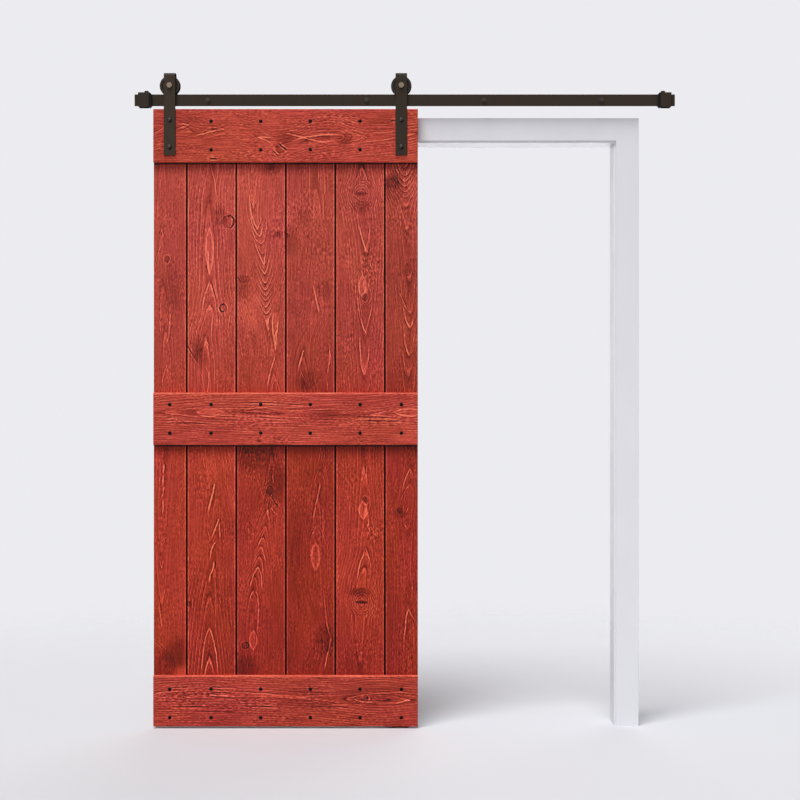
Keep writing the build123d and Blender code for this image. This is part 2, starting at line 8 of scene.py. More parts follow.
import bpy
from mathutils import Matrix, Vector


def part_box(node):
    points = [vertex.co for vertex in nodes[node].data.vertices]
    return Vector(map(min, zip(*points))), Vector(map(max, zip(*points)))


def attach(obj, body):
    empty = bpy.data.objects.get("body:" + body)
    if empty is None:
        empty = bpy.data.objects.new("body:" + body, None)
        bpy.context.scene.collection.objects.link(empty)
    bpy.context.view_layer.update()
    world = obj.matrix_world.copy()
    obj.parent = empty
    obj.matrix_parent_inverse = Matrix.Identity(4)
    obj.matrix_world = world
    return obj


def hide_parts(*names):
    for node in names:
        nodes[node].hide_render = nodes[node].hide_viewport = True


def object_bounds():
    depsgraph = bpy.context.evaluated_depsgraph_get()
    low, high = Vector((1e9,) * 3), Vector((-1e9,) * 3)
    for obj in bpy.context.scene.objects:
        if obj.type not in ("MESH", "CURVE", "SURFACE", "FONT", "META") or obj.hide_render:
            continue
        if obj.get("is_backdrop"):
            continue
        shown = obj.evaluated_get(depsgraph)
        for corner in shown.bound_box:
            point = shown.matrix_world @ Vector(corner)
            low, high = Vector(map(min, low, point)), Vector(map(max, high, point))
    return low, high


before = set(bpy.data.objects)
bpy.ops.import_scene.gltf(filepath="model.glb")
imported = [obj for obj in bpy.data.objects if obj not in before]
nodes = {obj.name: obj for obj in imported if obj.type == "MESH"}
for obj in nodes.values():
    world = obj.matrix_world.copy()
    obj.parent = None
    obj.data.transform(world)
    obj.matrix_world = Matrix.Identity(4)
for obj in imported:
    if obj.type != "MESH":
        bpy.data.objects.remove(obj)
cad_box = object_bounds()

# The camera looks along +Y, from in front of the whole part's middle
camera_place = (-0.0164, -6.056, -1.0375)
camera_lens = 78.16
camera_sensor = 36.0

# Plain soft light, mostly from above and a little from the left, weaker from the front, the right
# and behind: the way it travels, its strength, and how wide its source looks, in degrees
lamps = {
    "key": ((0.25, 0.62, -1.20), 2.60, 32.0),
    "front": ((0.30, 1.0, 0.05), 0.66, 60.0),
    "side": ((-1.0, 0.42, -0.10), 0.10, 14.0),
    "back": ((-0.25, -1.0, -0.12), 1.5, 50.0),
}
sky_strength = 0.20
sky_colour = (0.93, 0.95, 1.0)
background_colour = (236, 236, 240)

# The floor, in metres, with how far from its centre it starts to fade and where it has gone
floor_colour = (222, 222, 226)
floor_centre = (-0.1, 0.0)
floor_half = 6.0
floor_fade = (1.6, 4.2)

# A board of pine, in millimetres. Places on the planks are heights above the foot of the leaf, and
# places on the battens run from its left edge; offsets are to the right of, or above, the board's
# own middle.
# - tone is how much lighter the board gets along it, as (place, amount): partly the board's own tone
#   and partly painted light, lighter towards the top of the leaf
# - pitch is the gap between year rings beside the arches, and roundness how blunt the arches are
# - heart is the middle line of the arches, as (place, offset), and spread how far they show beside it
# - rings is the count of year rings along the heart, as (place, count): the arches point to where
#   it grows, with one arch for each whole number
# - shown is how clearly the rings stand out, as (place, amount)
# - knots are (place, offset, half width, half length, darkness of the heart, boldness of the rim,
#   rings around it)
# - streaks are bright lines, dark where the strength is negative, of (strength, place and offset of
#   the tip, and of each point on from there)
# - patches are darker clouds, lighter where the strength is negative, of (place, offset, half
#   length, half width, strength)
# - dapples, clouds of short dashes, and eyes, ovals with a bright outline, are given like patches
# - crispness is how strong the long grain is
Board = namedtuple(
    "Board",
    "tone pitch roundness spread heart rings shown knots streaks patches dapples eyes crispness",
    defaults=([], 1.0),
)

tone_heights = (0, 280, 520, 800, 1280, 1530, 1800, 2134)


def up_the_leaf(*hundredths):
    """How light a plank is, in hundredths, at set heights above the foot: partly painted light, lighter
    towards the top.
    """
    return [(height, level / 100) for height, level in zip(tone_heights, hundredths)]


boards = {}
boards["plank_1"] = Board(
    tone=up_the_leaf(-3, -1, 7, 8, 9, 6, 11, 12),
    pitch=9.0,
    roundness=20,
    spread=45,
    heart=[(0, -26), (340, -27), (560, -30), (900, -18), (1240, -14), (1460, -22), (1720, -31), (2134, -20)],
    rings=[(0, 5.4), (300, 4.6), (560, 3.2), (900, 2.1), (1200, 2.4), (1450, 3.5), (1720, 5.1), (2134, 6.4)],
    shown=[(0, 0.25), (500, 0.35), (900, 0.45), (1300, 0.4), (1700, 0.3), (2134, 0.22)],
    knots=[(1616, -12, 8, 9, 0.16, 0.9, 2), (659, -21, 7, 8, 0.12, 0.3, 1)],
    streaks=[
        (0.35, 1915, -29, 1850, -38), (0.7, 1718, -30, 1696, -38), (0.7, 1718, -30, 1691, -23),
        (0.45, 1660, -34, 1623, -46, 1582, -53), (0.8, 1328, -11, 1374, -3, 1455, -1),
        (0.35, 1405, -37, 1362, -33), (0.6, 1246, -13, 1218, -22, 1184, -29), (0.4, 1246, -13, 1204, -5),
        (1.2, 905, -22, 870, -25), (1.2, 868, -24, 830, -27), (1.0, 826, -23, 788, -28),
        (0.9, 782, -25, 720, -26), (0.35, 674, -57, 640, -44, 602, -33), (0.7, 546, -30, 574, -37),
        (0.6, 546, -30, 577, -23), (0.35, 400, -25, 480, -28), (0.7, 341, -27, 377, -34, 440, -40),
        (-0.9, 292, -51, 255, -9),
    ],
    patches=[(250, 25, 60, 40, 0.22), (200, -20, 60, 45, 0.14), (190, 40, 22, 25, -0.16),
             (1500, 0, 100, 50, 0.07)],
    dapples=[(830, -25, 130, 12, 0.5), (1420, -5, 60, 30, 0.3)],
    crispness=0.75,
)
boards["plank_2"] = Board(
    tone=up_the_leaf(-5, -3, 1, 7, 10, 14, 13, 13),
    pitch=10.0,
    roundness=24,
    spread=120,
    heart=[(0, -6), (340, -8), (580, 6), (710, 22), (840, 8), (1000, -8), (1330, -20), (1450, -6),
           (1650, -10), (1790, -11), (1940, 6), (2134, 10)],
    rings=[(0, 0.4), (170, 1.4), (226, 1.93), (335, 2.93), (440, 3.9), (580, 5.2), (710, 6.1), (840, 7.2),
           (1000, 7.4), (1220, 7.6), (1330, 7.93), (1452, 8.93), (1530, 9.93), (1650, 10.4), (1788, 10.93),
           (1900, 11.2), (2134, 11.4)],
    shown=[(0, 0.7), (450, 0.65), (600, 0.25), (950, 0.3), (1150, 0.4), (1350, 0.66), (1750, 0.66),
           (1950, 0.6), (2134, 0.5)],
    knots=[(1746, 58, 19, 21, 0.06, 0.8, 3), (1447, 40, 11, 12, 0.05, 1.2, 2),
           (421, -77, 7, 9, 0.15, 0.3, 1)],
    eyes=[(1645, -7, 81, 13, 1.1)],
    streaks=[
        (0.6, 1939, -3, 1897, 8, 1855, 15, 1804, 20, 1745, 21), (0.4, 1790, -12, 1759, -25, 1682, -33),
        (0.35, 1790, -12, 1745, 18, 1717, 22), (-1.1, 1719, 61, 1727, 70, 1746, 76, 1768, 63),
        (0.7, 1565, -8, 1600, -15, 1640, -20), (1.1, 1572, -8, 1605, -11, 1650, -12),
        (0.9, 1532, -8, 1506, -18, 1468, -29, 1433, -33), (-0.8, 1528, 2, 1470, 18),
        (0.6, 1450, -8, 1423, 6, 1395, 1, 1350, -1), (0.3, 1450, -8, 1429, -19, 1388, -28),
        (-1.2, 1428, 39, 1438, 31, 1454, 29), (-0.9, 1429, 41, 1440, 51, 1458, 49),
        (-1.0, 1432, 41, 1414, 41), (0.45, 1426, 20, 1371, 17), (0.5, 1412, 28, 1315, 29),
        (0.7, 1332, -18, 1313, -26), (0.7, 1332, -18, 1315, -9), (-1.1, 1317, -84, 1289, -67),
        (0.7, 1310, -86, 1284, -70, 1246, -45), (0.5, 1248, -45, 1238, -18, 1200, -9),
        (0.4, 1156, -24, 1187, -28, 1225, -37), (0.6, 1156, -15, 1197, -9, 1235, -8),
        (0.6, 893, -24, 931, -28), (1.3, 837, 10, 813, 6, 754, -9, 730, -14),
        (0.4, 837, 10, 809, 15, 754, 15), (0.5, 838, -8, 815, -8), (1.2, 716, 25, 688, 15, 643, -1),
        (0.8, 716, 25, 678, 28, 633, 29), (0.6, 672, -11, 655, -8), (1.0, 635, 14, 612, 1, 574, -6),
        (1.2, 570, 9, 543, 4, 515, -6, 491, -8), (0.4, 463, 14, 383, 14, 297, 20),
        (0.85, 338, -8, 311, -19, 283, -26, 228, -32, 176, -35),
        (0.85, 338, -8, 311, 3, 280, 10, 241, 17, 176, 22), (0.6, 229, -8, 203, -18, 176, -23),
        (0.6, 229, -8, 203, 2, 176, 7),
    ],
    patches=[(1310, -60, 40, 30, 0.15), (1280, -35, 35, 25, 0.13), (1765, 30, 30, 30, 0.14),
             (750, 30, 150, 40, 0.05), (1590, -7, 50, 8, -0.12)],
    dapples=[(820, -30, 60, 30, 0.5), (660, -15, 60, 25, 0.4), (430, -70, 40, 14, 0.5)],
)
boards["plank_3"] = Board(
    tone=up_the_leaf(-8, -7, 2, 1, 8, 11, 16, 16),
    pitch=9.0,
    roundness=12,
    spread=40,
    heart=[(0, -26), (230, -28), (300, -30), (470, -27), (550, -10), (600, -3), (670, 10), (710, 16),
           (820, 31), (940, 38), (1190, 45), (1300, 40), (1400, 20), (1510, 16), (1600, 10), (1670, 0),
           (1720, -13), (1800, -26), (2134, -30)],
    rings=[(0, 4.6), (170, 3.6), (230, 3.0), (300, 2.6), (370, 2.8), (465, 3.93), (548, 5.93), (600, 7.4),
           (670, 9.5), (710, 10.4), (820, 12.0), (970, 13.2), (1190, 14.6), (1300, 15.8), (1398, 15.93),
           (1427, 14.93), (1450, 13.93), (1473, 12.93), (1490, 11.93), (1509, 10.93), (1533, 9.93),
           (1566, 8.93), (1600, 7.93), (1635, 6.93), (1670, 5.93), (1696, 4.93), (1722, 3.93), (1802, 2.93),
           (1940, 1.8), (2134, 1.0)],
    shown=[(0, 0.45), (300, 0.5), (550, 0.8), (750, 0.6), (950, 0.45), (1250, 0.4), (1380, 0.75),
           (1450, 1.25), (1560, 1.2), (1650, 0.8), (1750, 0.6), (2134, 0.5)],
    knots=[(1701, 57, 14, 13, 0.22, 0.3, 2), (1547, -60, 22, 11, 0.18, 0.3, 1),
           (1937, 38, 10, 12, 0.15, 0.3, 2), (278, -54, 11, 11, 0.1, 1.1, 2),
           (816, 30, 12, 12, 0.12, 0.35, 2), (740, 45, 7, 10, 0.05, 0.4, 1)],
    eyes=[(296, -27, 33, 13, 0.9), (1330, 50, 30, 5, 0.8), (1605, 9, 20, 4, 0.7)],
    streaks=[
        (0.6, 1802, -26, 1817, -35, 1838, -40), (0.6, 1802, -26, 1817, -15),
        (0.8, 1722, -13, 1745, -24, 1776, -34, 1862, -43), (0.6, 1722, -13, 1741, -4, 1765, 1),
        (0.8, 1696, -5, 1713, -21, 1741, -31, 1776, -38), (0.6, 1696, -5, 1717, 3, 1745, 6),
        (0.5, 1681, 62, 1700, 78, 1722, 74), (0.8, 1670, 0, 1682, -16, 1707, -27, 1734, -35),
        (0.6, 1670, 0, 1686, 12, 1717, 17, 1755, 18), (0.8, 1596, 10, 1623, -2, 1658, -16, 1689, -26),
        (0.8, 1596, 10, 1630, 14, 1668, 19), (0.8, 1566, 13, 1582, 0, 1603, -9),
        (0.6, 1566, 13, 1592, 23, 1627, 28), (-0.9, 1556, -84, 1540, -70),
        (0.4, 1353, -74, 1308, -69, 1260, -59), (0.9, 1305, 50, 1343, 45, 1378, 40, 1429, 41),
        (0.8, 1305, 50, 1350, 53, 1388, 57, 1426, 62), (0.9, 1277, 48, 1246, 38, 1211, 29, 1159, 21),
        (0.5, 1197, 51, 1180, 40, 1156, 36), (0.5, 1197, 51, 1177, 60, 1156, 64),
        (0.5, 965, -66, 927, -74, 886, -80), (0.4, 890, 45, 960, 51), (0.4, 878, 73, 905, 66),
        (0.9, 844, 42, 875, 41), (0.6, 800, 13, 822, 16), (-1.0, 796, 34, 772, 50, 748, 66),
        (0.8, 781, 33, 763, 22, 741, 22, 702, 36), (0.7, 752, 38, 742, 44, 728, 54),
        (0.7, 674, 10, 643, -2, 605, -16), (0.5, 674, 10, 640, 19, 602, 26), (0.6, 668, -42, 685, -43),
        (0.6, 598, 0, 590, -12, 570, -23, 539, -35), (0.6, 598, 0, 588, 10, 567, 17),
        (0.5, 567, 3, 532, 7, 470, 11), (0.8, 548, -12, 529, -23, 501, -33, 467, -39),
        (0.8, 548, -12, 529, -2, 501, 2, 463, 3), (0.8, 466, -23, 456, -33, 439, -38),
        (0.7, 466, -23, 454, -13, 432, -10, 331, -11), (0.5, 248, -52, 176, -43),
    ],
    patches=[(830, 55, 70, 40, 0.18), (930, -10, 60, 80, 0.18), (1505, -60, 30, 35, 0.1),
             (190, -50, 60, 45, 0.2), (1440, -45, 70, 35, -0.1), (1930, 35, 30, 35, 0.16),
             (1385, 49, 50, 9, -0.16)],
    dapples=[(900, 0, 100, 80, 0.6), (760, 60, 60, 25, 0.6), (1720, 55, 40, 30, 0.5),
             (680, -40, 25, 25, 0.5), (1920, 50, 40, 30, 0.5)],
)
boards["plank_4"] = Board(
    tone=up_the_leaf(-12, -10, -5, -5, 2, 6, 10, 10),
    pitch=10.0,
    roundness=20,
    spread=70,
    heart=[(0, 30), (170, 33), (290, 57), (400, 40), (590, 17), (780, 26), (890, 33), (1100, 10),
           (1250, -28), (1470, 26), (1940, 16), (2134, 0)],
    rings=[(0, 3.4), (170, 2.9), (400, 2.0), (500, 1.4), (590, 1.15), (680, 1.5), (840, 2.4), (890, 3.1),
           (1100, 3.7), (1220, 4.3), (1300, 5.1), (1470, 6.2), (1940, 8.2), (2134, 9.0)],
    shown=[(0, 0.4), (500, 0.3), (950, 0.35), (1250, 0.3), (1700, 0.25), (1940, 0.45), (2134, 0.5)],
    knots=[(1697, -83, 7, 9, 0.2, 0.5, 1), (1396, -11, 8, 9, 0.03, 0.3, 1), (874, -8, 3, 4, 0.04, 0.3, 1)],
    eyes=[(586, 17, 48, 14, 1.0), (1272, 65, 22, 4, 0.5)],
    streaks=[
        (0.35, 1939, -20, 1821, -18), (0.3, 1939, -3, 1810, -4), (0.6, 1942, 27, 1880, 29),
        (0.5, 1752, 44, 1821, 44, 1869, 50, 1918, 48), (0.9, 1434, 29, 1475, 20, 1531, 8),
        (0.35, 1332, -1, 1388, 2), (1.0, 1300, -24, 1270, -33, 1235, -42), (0.4, 1300, -24, 1279, -16),
        (0.6, 1222, -32, 1204, -38), (0.6, 1222, -32, 1194, -18),
        (0.7, 1220, 60, 1246, 62, 1277, 67, 1329, 61), (0.7, 1189, 58, 1156, 60),
        (0.5, 962, 36, 934, 31, 903, 25), (0.6, 893, 35, 868, 20, 830, 12),
        (1.0, 841, 33, 803, 27, 764, 17, 699, 7), (0.45, 747, 42, 678, 43, 615, 39),
        (-0.7, 693, 22, 678, 8, 652, 2), (-0.6, 693, 22, 676, 34, 648, 40), (0.5, 681, 24, 671, 12, 654, 4),
        (0.4, 681, 24, 667, 33), (0.7, 359, 56, 415, 50, 480, 44), (1.0, 359, 56, 331, 62, 307, 70),
        (0.9, 307, 70, 273, 65, 224, 54, 176, 46),
    ],
    patches=[(1765, -30, 35, 30, 0.1), (1680, -70, 60, 25, 0.12), (1510, 47, 40, 30, 0.12),
             (1190, -10, 40, 45, 0.14), (300, 50, 50, 30, 0.12), (600, -50, 160, 30, 0.06)],
    dapples=[(1790, -30, 110, 60, 0.55), (1630, 30, 60, 50, 0.4), (1480, 30, 50, 50, 0.4),
             (700, 20, 60, 40, 0.4), (290, 40, 60, 40, 0.5)],
)
boards["plank_5"] = Board(
    tone=up_the_leaf(-6, -5, 4, 3, 3, 8, 10, 10),
    pitch=8.5,
    roundness=28,
    spread=120,
    heart=[(0, 4), (435, 1), (610, 20), (790, 18), (1000, 12), (1220, 15), (1360, 18), (1500, 19),
           (1650, 21), (1840, 6), (2134, 10)],
    rings=[(0, 6.6), (170, 6.1), (435, 5.4), (610, 7.1), (790, 8.2), (970, 9.0), (1220, 7.93), (1360, 6.93),
           (1500, 6.0), (1650, 4.93), (1750, 4.3), (1840, 4.2), (1940, 5.0), (2134, 6.0)],
    shown=[(0, 0.35), (250, 0.3), (420, 0.75), (600, 0.6), (900, 0.6), (1200, 0.6), (1500, 0.65),
           (1700, 0.5), (1820, 0.8), (1940, 0.75), (2134, 0.6)],
    knots=[(1842, 5, 17, 6, 0.27, 0.4, 5), (427, 6, 18, 6, 0.42, 0.8, 5), (1483, 18, 9, 8, 0.16, 0.35, 2),
           (783, 18, 8, 8, 0.2, 0.35, 2)],
    eyes=[(1522, 8, 36, 13, 1.0), (747, 11, 32, 14, 1.1)],
    streaks=[
        (0.6, 1905, 2, 1932, 2), (0.5, 1893, 10, 1912, 18), (0.85, 1650, 19, 1696, 5, 1741, -6, 1779, -11),
        (0.5, 1650, 19, 1675, 27, 1707, 33, 1745, 36), (-0.7, 1576, 30, 1600, 40, 1640, 48),
        (0.45, 1526, -16, 1371, -18), (0.6, 1459, 24, 1468, 33, 1485, 39, 1509, 35, 1544, 21),
        (-0.8, 1478, 12, 1492, 24), (0.85, 1362, 19, 1388, 8, 1429, -2, 1474, -8, 1516, -8),
        (0.6, 1362, 19, 1391, 26, 1429, 36, 1474, 45), (0.7, 1222, 17, 1239, 6, 1277, 1, 1353, 0),
        (0.5, 1222, 17, 1246, 26, 1284, 29, 1336, 33), (0.7, 900, 23, 858, 23),
        (0.6, 730, 22, 757, 33, 785, 34, 803, 20), (-0.9, 776, 13, 790, 24), (0.8, 704, 30, 685, 24),
        (-0.7, 690, 40, 655, 62), (0.8, 614, 18, 591, 10, 567, 1, 500, -10),
        (0.6, 614, 18, 591, 28, 567, 32), (0.5, 484, -13, 512, -10, 574, 3), (-0.6, 455, -22, 462, 30),
    ],
    patches=[(1800, 0, 25, 30, 0.14), (462, 2, 16, 42, 0.26), (200, 0, 100, 50, 0.06)],
    dapples=[(1600, 42, 60, 40, 0.9), (1634, -45, 60, 25, 0.6), (1308, -44, 70, 30, 0.6),
             (675, 50, 45, 32, 1.0), (1240, 50, 60, 25, 0.5), (270, 6, 80, 45, 0.6),
             (820, -30, 100, 30, 0.4)],
)
boards["plank_6"] = Board(
    tone=up_the_leaf(-11, -10, -6, -4, -3, -1, 7, 7),
    pitch=8.0,
    roundness=24,
    spread=100,
    heart=[(0, 30), (400, 25), (680, 20), (890, 30), (1220, 26), (1430, 30), (1650, 22), (1850, 14),
           (1940, 10), (2134, 0)],
    rings=[(0, 10.4), (300, 11.2), (404, 11.93), (560, 12.6), (626, 12.4), (681, 11.93), (760, 11.3),
           (834, 11.93), (886, 12.93), (970, 13.4), (1100, 13.6), (1215, 12.93), (1284, 11.93),
           (1381, 10.93), (1433, 9.93), (1600, 8.6), (1730, 7.93), (1800, 6.93), (1831, 5.93), (1849, 4.93),
           (1869, 3.93), (1887, 2.93), (1940, 0.9), (2134, -2.0)],
    shown=[(0, 0.4), (400, 0.4), (700, 0.35), (950, 0.4), (1200, 0.45), (1450, 0.5), (1650, 0.4),
           (1800, 0.8), (1900, 1.05), (2134, 0.9)],
    knots=[(746, -4, 10, 8, 0.12, 0.3, 2), (1580, 22, 13, 18, 0.13, 0.2, 2)],
    streaks=[
        (0.8, 1914, -9, 1928, -19), (0.7, 1923, -3, 1937, -15), (0.6, 1921, -53, 1904, -49),
        (0.5, 1932, 15, 1911, 7), (0.5, 1932, 15, 1897, 20), (0.7, 1900, -20, 1880, -40),
        (0.6, 1526, 20, 1542, -14), (0.7, 1431, 35, 1445, 18, 1471, 6, 1502, -8),
        (0.7, 1381, 29, 1398, 19, 1426, 12, 1464, 5), (0.5, 1381, 29, 1398, 39, 1426, 41),
        (0.7, 1282, 29, 1301, 19, 1329, 12, 1378, 8), (0.5, 1282, 29, 1308, 41, 1350, 46),
        (0.6, 1213, 24, 1229, 14, 1260, 9, 1308, 5), (0.4, 1213, 24, 1223, 34),
        (0.75, 887, 29, 865, 18, 834, 8, 809, 1), (0.5, 887, 29, 872, 35),
        (0.6, 837, 34, 826, 21, 806, 9, 782, 0), (0.7, 754, 23, 733, 16), (0.7, 683, 20, 702, 7),
        (0.5, 683, 20, 692, 27), (0.35, 636, 20, 655, 8), (0.3, 636, 20, 655, 31), (0.4, 515, 38, 435, 37),
        (0.5, 425, -54, 411, -49), (0.9, 402, 25, 376, 17, 338, 14, 283, 5),
        (0.8, 402, 25, 383, 35, 361, 49), (0.6, 328, 28, 337, 39, 344, 52), (0.5, 328, 28, 311, 40),
    ],
    patches=[(1880, -35, 22, 24, 0.2), (1900, -20, 18, 18, 0.14), (1850, -30, 40, 40, 0.12),
             (735, -8, 14, 20, 0.12), (1200, 20, 30, 20, 0.06)],
    dapples=[(1900, 20, 50, 50, 0.5), (1760, 0, 80, 50, 0.5), (1520, 15, 50, 40, 0.4),
             (250, 0, 90, 50, 0.4)],
)
# The battens' tones are partly painted light: the top one lightest, the bottom one darkest
boards["batten_top"] = Board(
    tone=[(0, 0.11), (914, 0.11)],
    pitch=8.0,
    roundness=16,
    spread=120,
    heart=[(0, 12), (80, 25), (160, 10), (245, 18), (360, -4), (440, -35), (550, -12), (670, -4), (750, -6),
           (914, 10)],
    rings=[(0, 2.0), (80, 3.2), (160, 4.3), (245, 5.2), (300, 5.4), (360, 5.05), (420, 4.2), (480, 3.4),
           (550, 3.0), (640, 3.4), (670, 4.6), (710, 5.6), (750, 6.2), (820, 6.6), (914, 7.0)],
    shown=[(0, 0.55), (200, 0.5), (400, 0.5), (600, 0.6), (914, 0.7)],
    knots=[(440, -48, 10, 16, 0.08, 0.5, 2), (207, -80, 2, 7, 0.3, 0.6, 1)],
    eyes=[(376, -7, 14, 4, 0.9), (514, -6, 12, 3, 0.8)],
    streaks=[
        (0.8, 37, 29, 17, 14, 1, 9), (1.0, 123, 37, 100, 40, 79, 42), (0.8, 123, 37, 100, 28, 79, 21),
        (-0.6, 131, 33, 80, 12), (-1.0, 198, -79, 222, -81), (1.0, 245, 22, 204, 15, 174, 6, 132, -2),
        (0.7, 245, 22, 218, 27, 187, 30), (0.4, 238, 6, 211, 1), (0.4, 263, 43, 225, 33),
        (0.5, 280, -11, 301, -12, 327, -16), (0.8, 362, -6, 424, -6), (0.8, 362, -6, 391, -17, 415, -35),
        (-1.5, 416, -53, 434, -74), (-1.6, 438, -31, 463, -52), (0.5, 423, -54, 442, -71),
        (0.6, 427, -29, 442, -41, 458, -55), (0.9, 518, -7, 477, 4, 453, 9),
        (0.8, 518, -7, 499, -12, 480, -20), (0.9, 518, -7, 549, -15, 605, -25),
        (1.0, 518, -7, 553, -2, 591, 3, 636, 3, 662, -10), (0.5, 470, 19, 560, 16, 640, 18),
        (-0.5, 470, 26, 600, 24), (0.7, 738, -7, 722, 1, 707, 4), (0.7, 738, -7, 716, -16),
        (0.5, 808, 38, 750, 37), (0.5, 805, 31, 736, 30), (0.6, 831, 18, 798, 10, 746, 11),
        (-0.5, 825, 24, 745, 22), (0.5, 837, -7, 812, -12, 786, -17), (-1.2, 822, 51, 839, 53),
        (-1.2, 827, 62, 836, 41), (0.6, 883, -13, 912, -7),
    ],
    patches=[(662, -15, 26, 24, 0.18), (455, -20, 30, 30, 0.16), (100, 50, 80, 30, 0.06),
             (800, 60, 100, 30, 0.08)],
    dapples=[(650, 55, 120, 20, 0.6), (600, -65, 80, 18, 0.6), (30, -25, 40, 30, 0.5),
             (380, -70, 120, 20, 0.5)],
    crispness=1.45,
)
boards["batten_middle"] = Board(
    tone=[(0, 0.09), (914, 0.09)],
    pitch=8.0,
    roundness=12,
    spread=140,
    heart=[(0, 18), (140, 24), (400, 20), (650, 12), (850, 20), (914, 22)],
    rings=[(0, 6.3), (140, 5.05), (200, 4.4), (270, 4.2), (390, 4.0), (500, 4.3), (650, 4.2), (780, 3.8),
           (830, 3.1), (914, 2.2)],
    shown=[(0, 0.75), (250, 0.8), (450, 0.9), (700, 0.7), (914, 0.8)],
    knots=[(365, -77, 4, 10, 0.35, 0.6, 1)],
    eyes=[(192, 22, 52, 14, 0.6), (881, 22, 50, 14, 0.6)],
    streaks=[
        (0.6, 52, -1, 79, 0, 107, -3), (0.4, 55, -8, 128, -9), (-0.7, 60, -13, 200, -17),
        (0.8, 164, 12, 197, 8, 231, 7), (0.6, 230, -9, 330, -12), (0.5, 273, 50, 335, 51, 397, 50, 466, 45),
        (0.9, 320, 25, 366, 24, 410, 22), (-0.8, 328, 56, 377, 57, 425, 53),
        (-0.8, 335, 32, 377, 33, 421, 28), (0.5, 349, 40, 404, 38), (-0.7, 350, 8, 440, 2),
        (0.5, 370, 0, 460, -5), (-0.6, 456, 47, 535, 52), (0.5, 456, 38, 560, 45, 640, 52),
        (0.5, 470, 26, 560, 32, 650, 36), (0.6, 505, 15, 520, -8), (0.6, 616, -40, 628, -58),
        (0.5, 694, 5, 681, 18, 640, 19), (-0.6, 700, 8, 860, 4), (0.6, 700, -1, 830, 0),
        (-0.6, 735, -7, 850, -8), (0.6, 745, -12, 880, -15), (0.8, 838, 22, 860, 13, 912, 8),
        (0.7, 838, 24, 860, 31, 912, 34),
    ],
    patches=[(300, -30, 100, 20, 0.06), (590, 18, 60, 25, 0.08)],
    dapples=[(330, -10, 130, 45, 0.7), (760, -10, 140, 25, 0.7), (80, 0, 60, 25, 0.5),
             (380, -65, 90, 20, 0.5)],
    crispness=1.45,
)
boards["batten_bottom"] = Board(
    tone=[(0, 0.0), (914, 0.0)],
    pitch=8.0,
    roundness=12,
    spread=140,
    heart=[(0, 20), (200, 24), (500, 14), (780, 4), (914, 4)],
    rings=[(0, 5.2), (160, 4.2), (280, 4.6), (500, 4.8), (640, 4.3), (690, 3.7), (780, 3.0), (860, 3.7),
           (914, 4.2)],
    shown=[(0, 0.7), (300, 0.85), (600, 0.75), (914, 0.7)],
    knots=[(740, 10, 5, 4, 0.5, 0.9, 1)],
    streaks=[
        (0.5, 66, 44, 130, 42), (0.7, 108, 15, 148, 8), (-0.6, 70, -18, 190, -20), (0.5, 60, -25, 200, -28),
        (-0.6, 150, -35, 300, -38), (-0.7, 193, 34, 231, 30, 273, 32), (1.0, 195, 21, 225, 19, 280, 20),
        (0.6, 207, 44, 249, 44, 301, 41), (-0.6, 205, 50, 290, 49), (0.6, 275, 3, 330, -8),
        (0.5, 350, 0, 378, -8), (-0.7, 310, -17, 430, -20), (0.5, 330, -24, 440, -25),
        (-0.5, 470, 33, 600, 30, 715, 38), (0.4, 480, -24, 620, -30), (0.5, 534, 15, 497, 11),
        (0.5, 534, 15, 563, 22), (0.5, 539, 7, 560, 0, 580, -7), (-0.6, 560, -17, 700, -22),
        (0.5, 620, -12, 760, -14), (0.7, 691, 12, 715, 20, 744, 23, 798, 28, 857, 30, 888, 24, 912, 14),
        (0.8, 691, 12, 714, 0, 736, -3, 784, -2), (0.6, 852, -5, 826, -6, 803, -4),
        (0.6, 852, -5, 867, 0, 887, 10),
    ],
    patches=[(760, 20, 120, 30, 0.08), (550, 0, 100, 40, 0.08)],
    dapples=[(230, 5, 170, 40, 0.7), (70, 25, 60, 50, 0.6), (740, 8, 50, 16, 0.7), (480, -20, 200, 50, 0.4)],
    crispness=1.45,
)

# How much richer the red is along the planks and along the battens
plank_richness = [(0, 0.045), (950, 0.040), (1450, 0.005), (2130, 0.0)]
batten_richness = [(0, 0.020), (920, 0.020)]

# Millimetres between the year rings that wrap round a knot
ring_gap = 7.2

# The stain from its darkest to where the hard rings shine through
stain_stops = [
    (0.00, (22, 7, 6)),
    (0.08, (68, 19, 15)),
    (0.20, (110, 33, 26)),
    (0.34, (134, 43, 33)),
    (0.46, (154, 53, 42)),
    (0.56, (175, 67, 54)),
    (0.72, (209, 84, 70)),
    (0.86, (235, 103, 86)),
    (1.00, (252, 134, 105)),
]

# White paint in its dullest and its cleanest places
white_stops = [(0.0, (222, 221, 226)), (1.0, (234, 233, 238))]

# How bright a year ring is from its soft start to its hard end, where 0.5 leaves the tone alone
ring_stops = [
    (0.00, 0.50), (0.04, 0.12), (0.10, 0.08), (0.17, 0.34), (0.27, 0.46), (0.50, 0.50),
    (0.76, 0.56), (0.87, 0.92), (0.93, 1.00), (0.97, 0.80), (1.00, 0.50),
]

# How far apart the boards lie in the noise, so that no two look alike
plank_seed_step = 11.3
batten_seed_start = 70.1
batten_seed_step = 9.7

# The lag bolts, in metres. The thread stays inside the plain rod that it is cut in, the rod is
# shaded round from a little behind the head, and places closer than same_place are one place.
bolt_head_height = 0.0052
bolt_shank_radius = 0.0038
bolt_point_length = 0.010
bolt_round_from = 0.001
same_place = 1e-5
thread_crest = 0.0040
thread_root = 0.0030
thread_pitch = 0.0032
thread_rows_per_turn = 8
points_round_bolt = 36

mm_in_metre = 1000


def linear(colour):
    """A colour given as 0 to 255, as the shader wants it."""
    parts = [part / 255 for part in colour]
    parts = [part / 12.92 if part <= 0.04045 else ((part + 0.055) / 1.055) ** 2.4 for part in parts]
    return (*parts, 1.0)


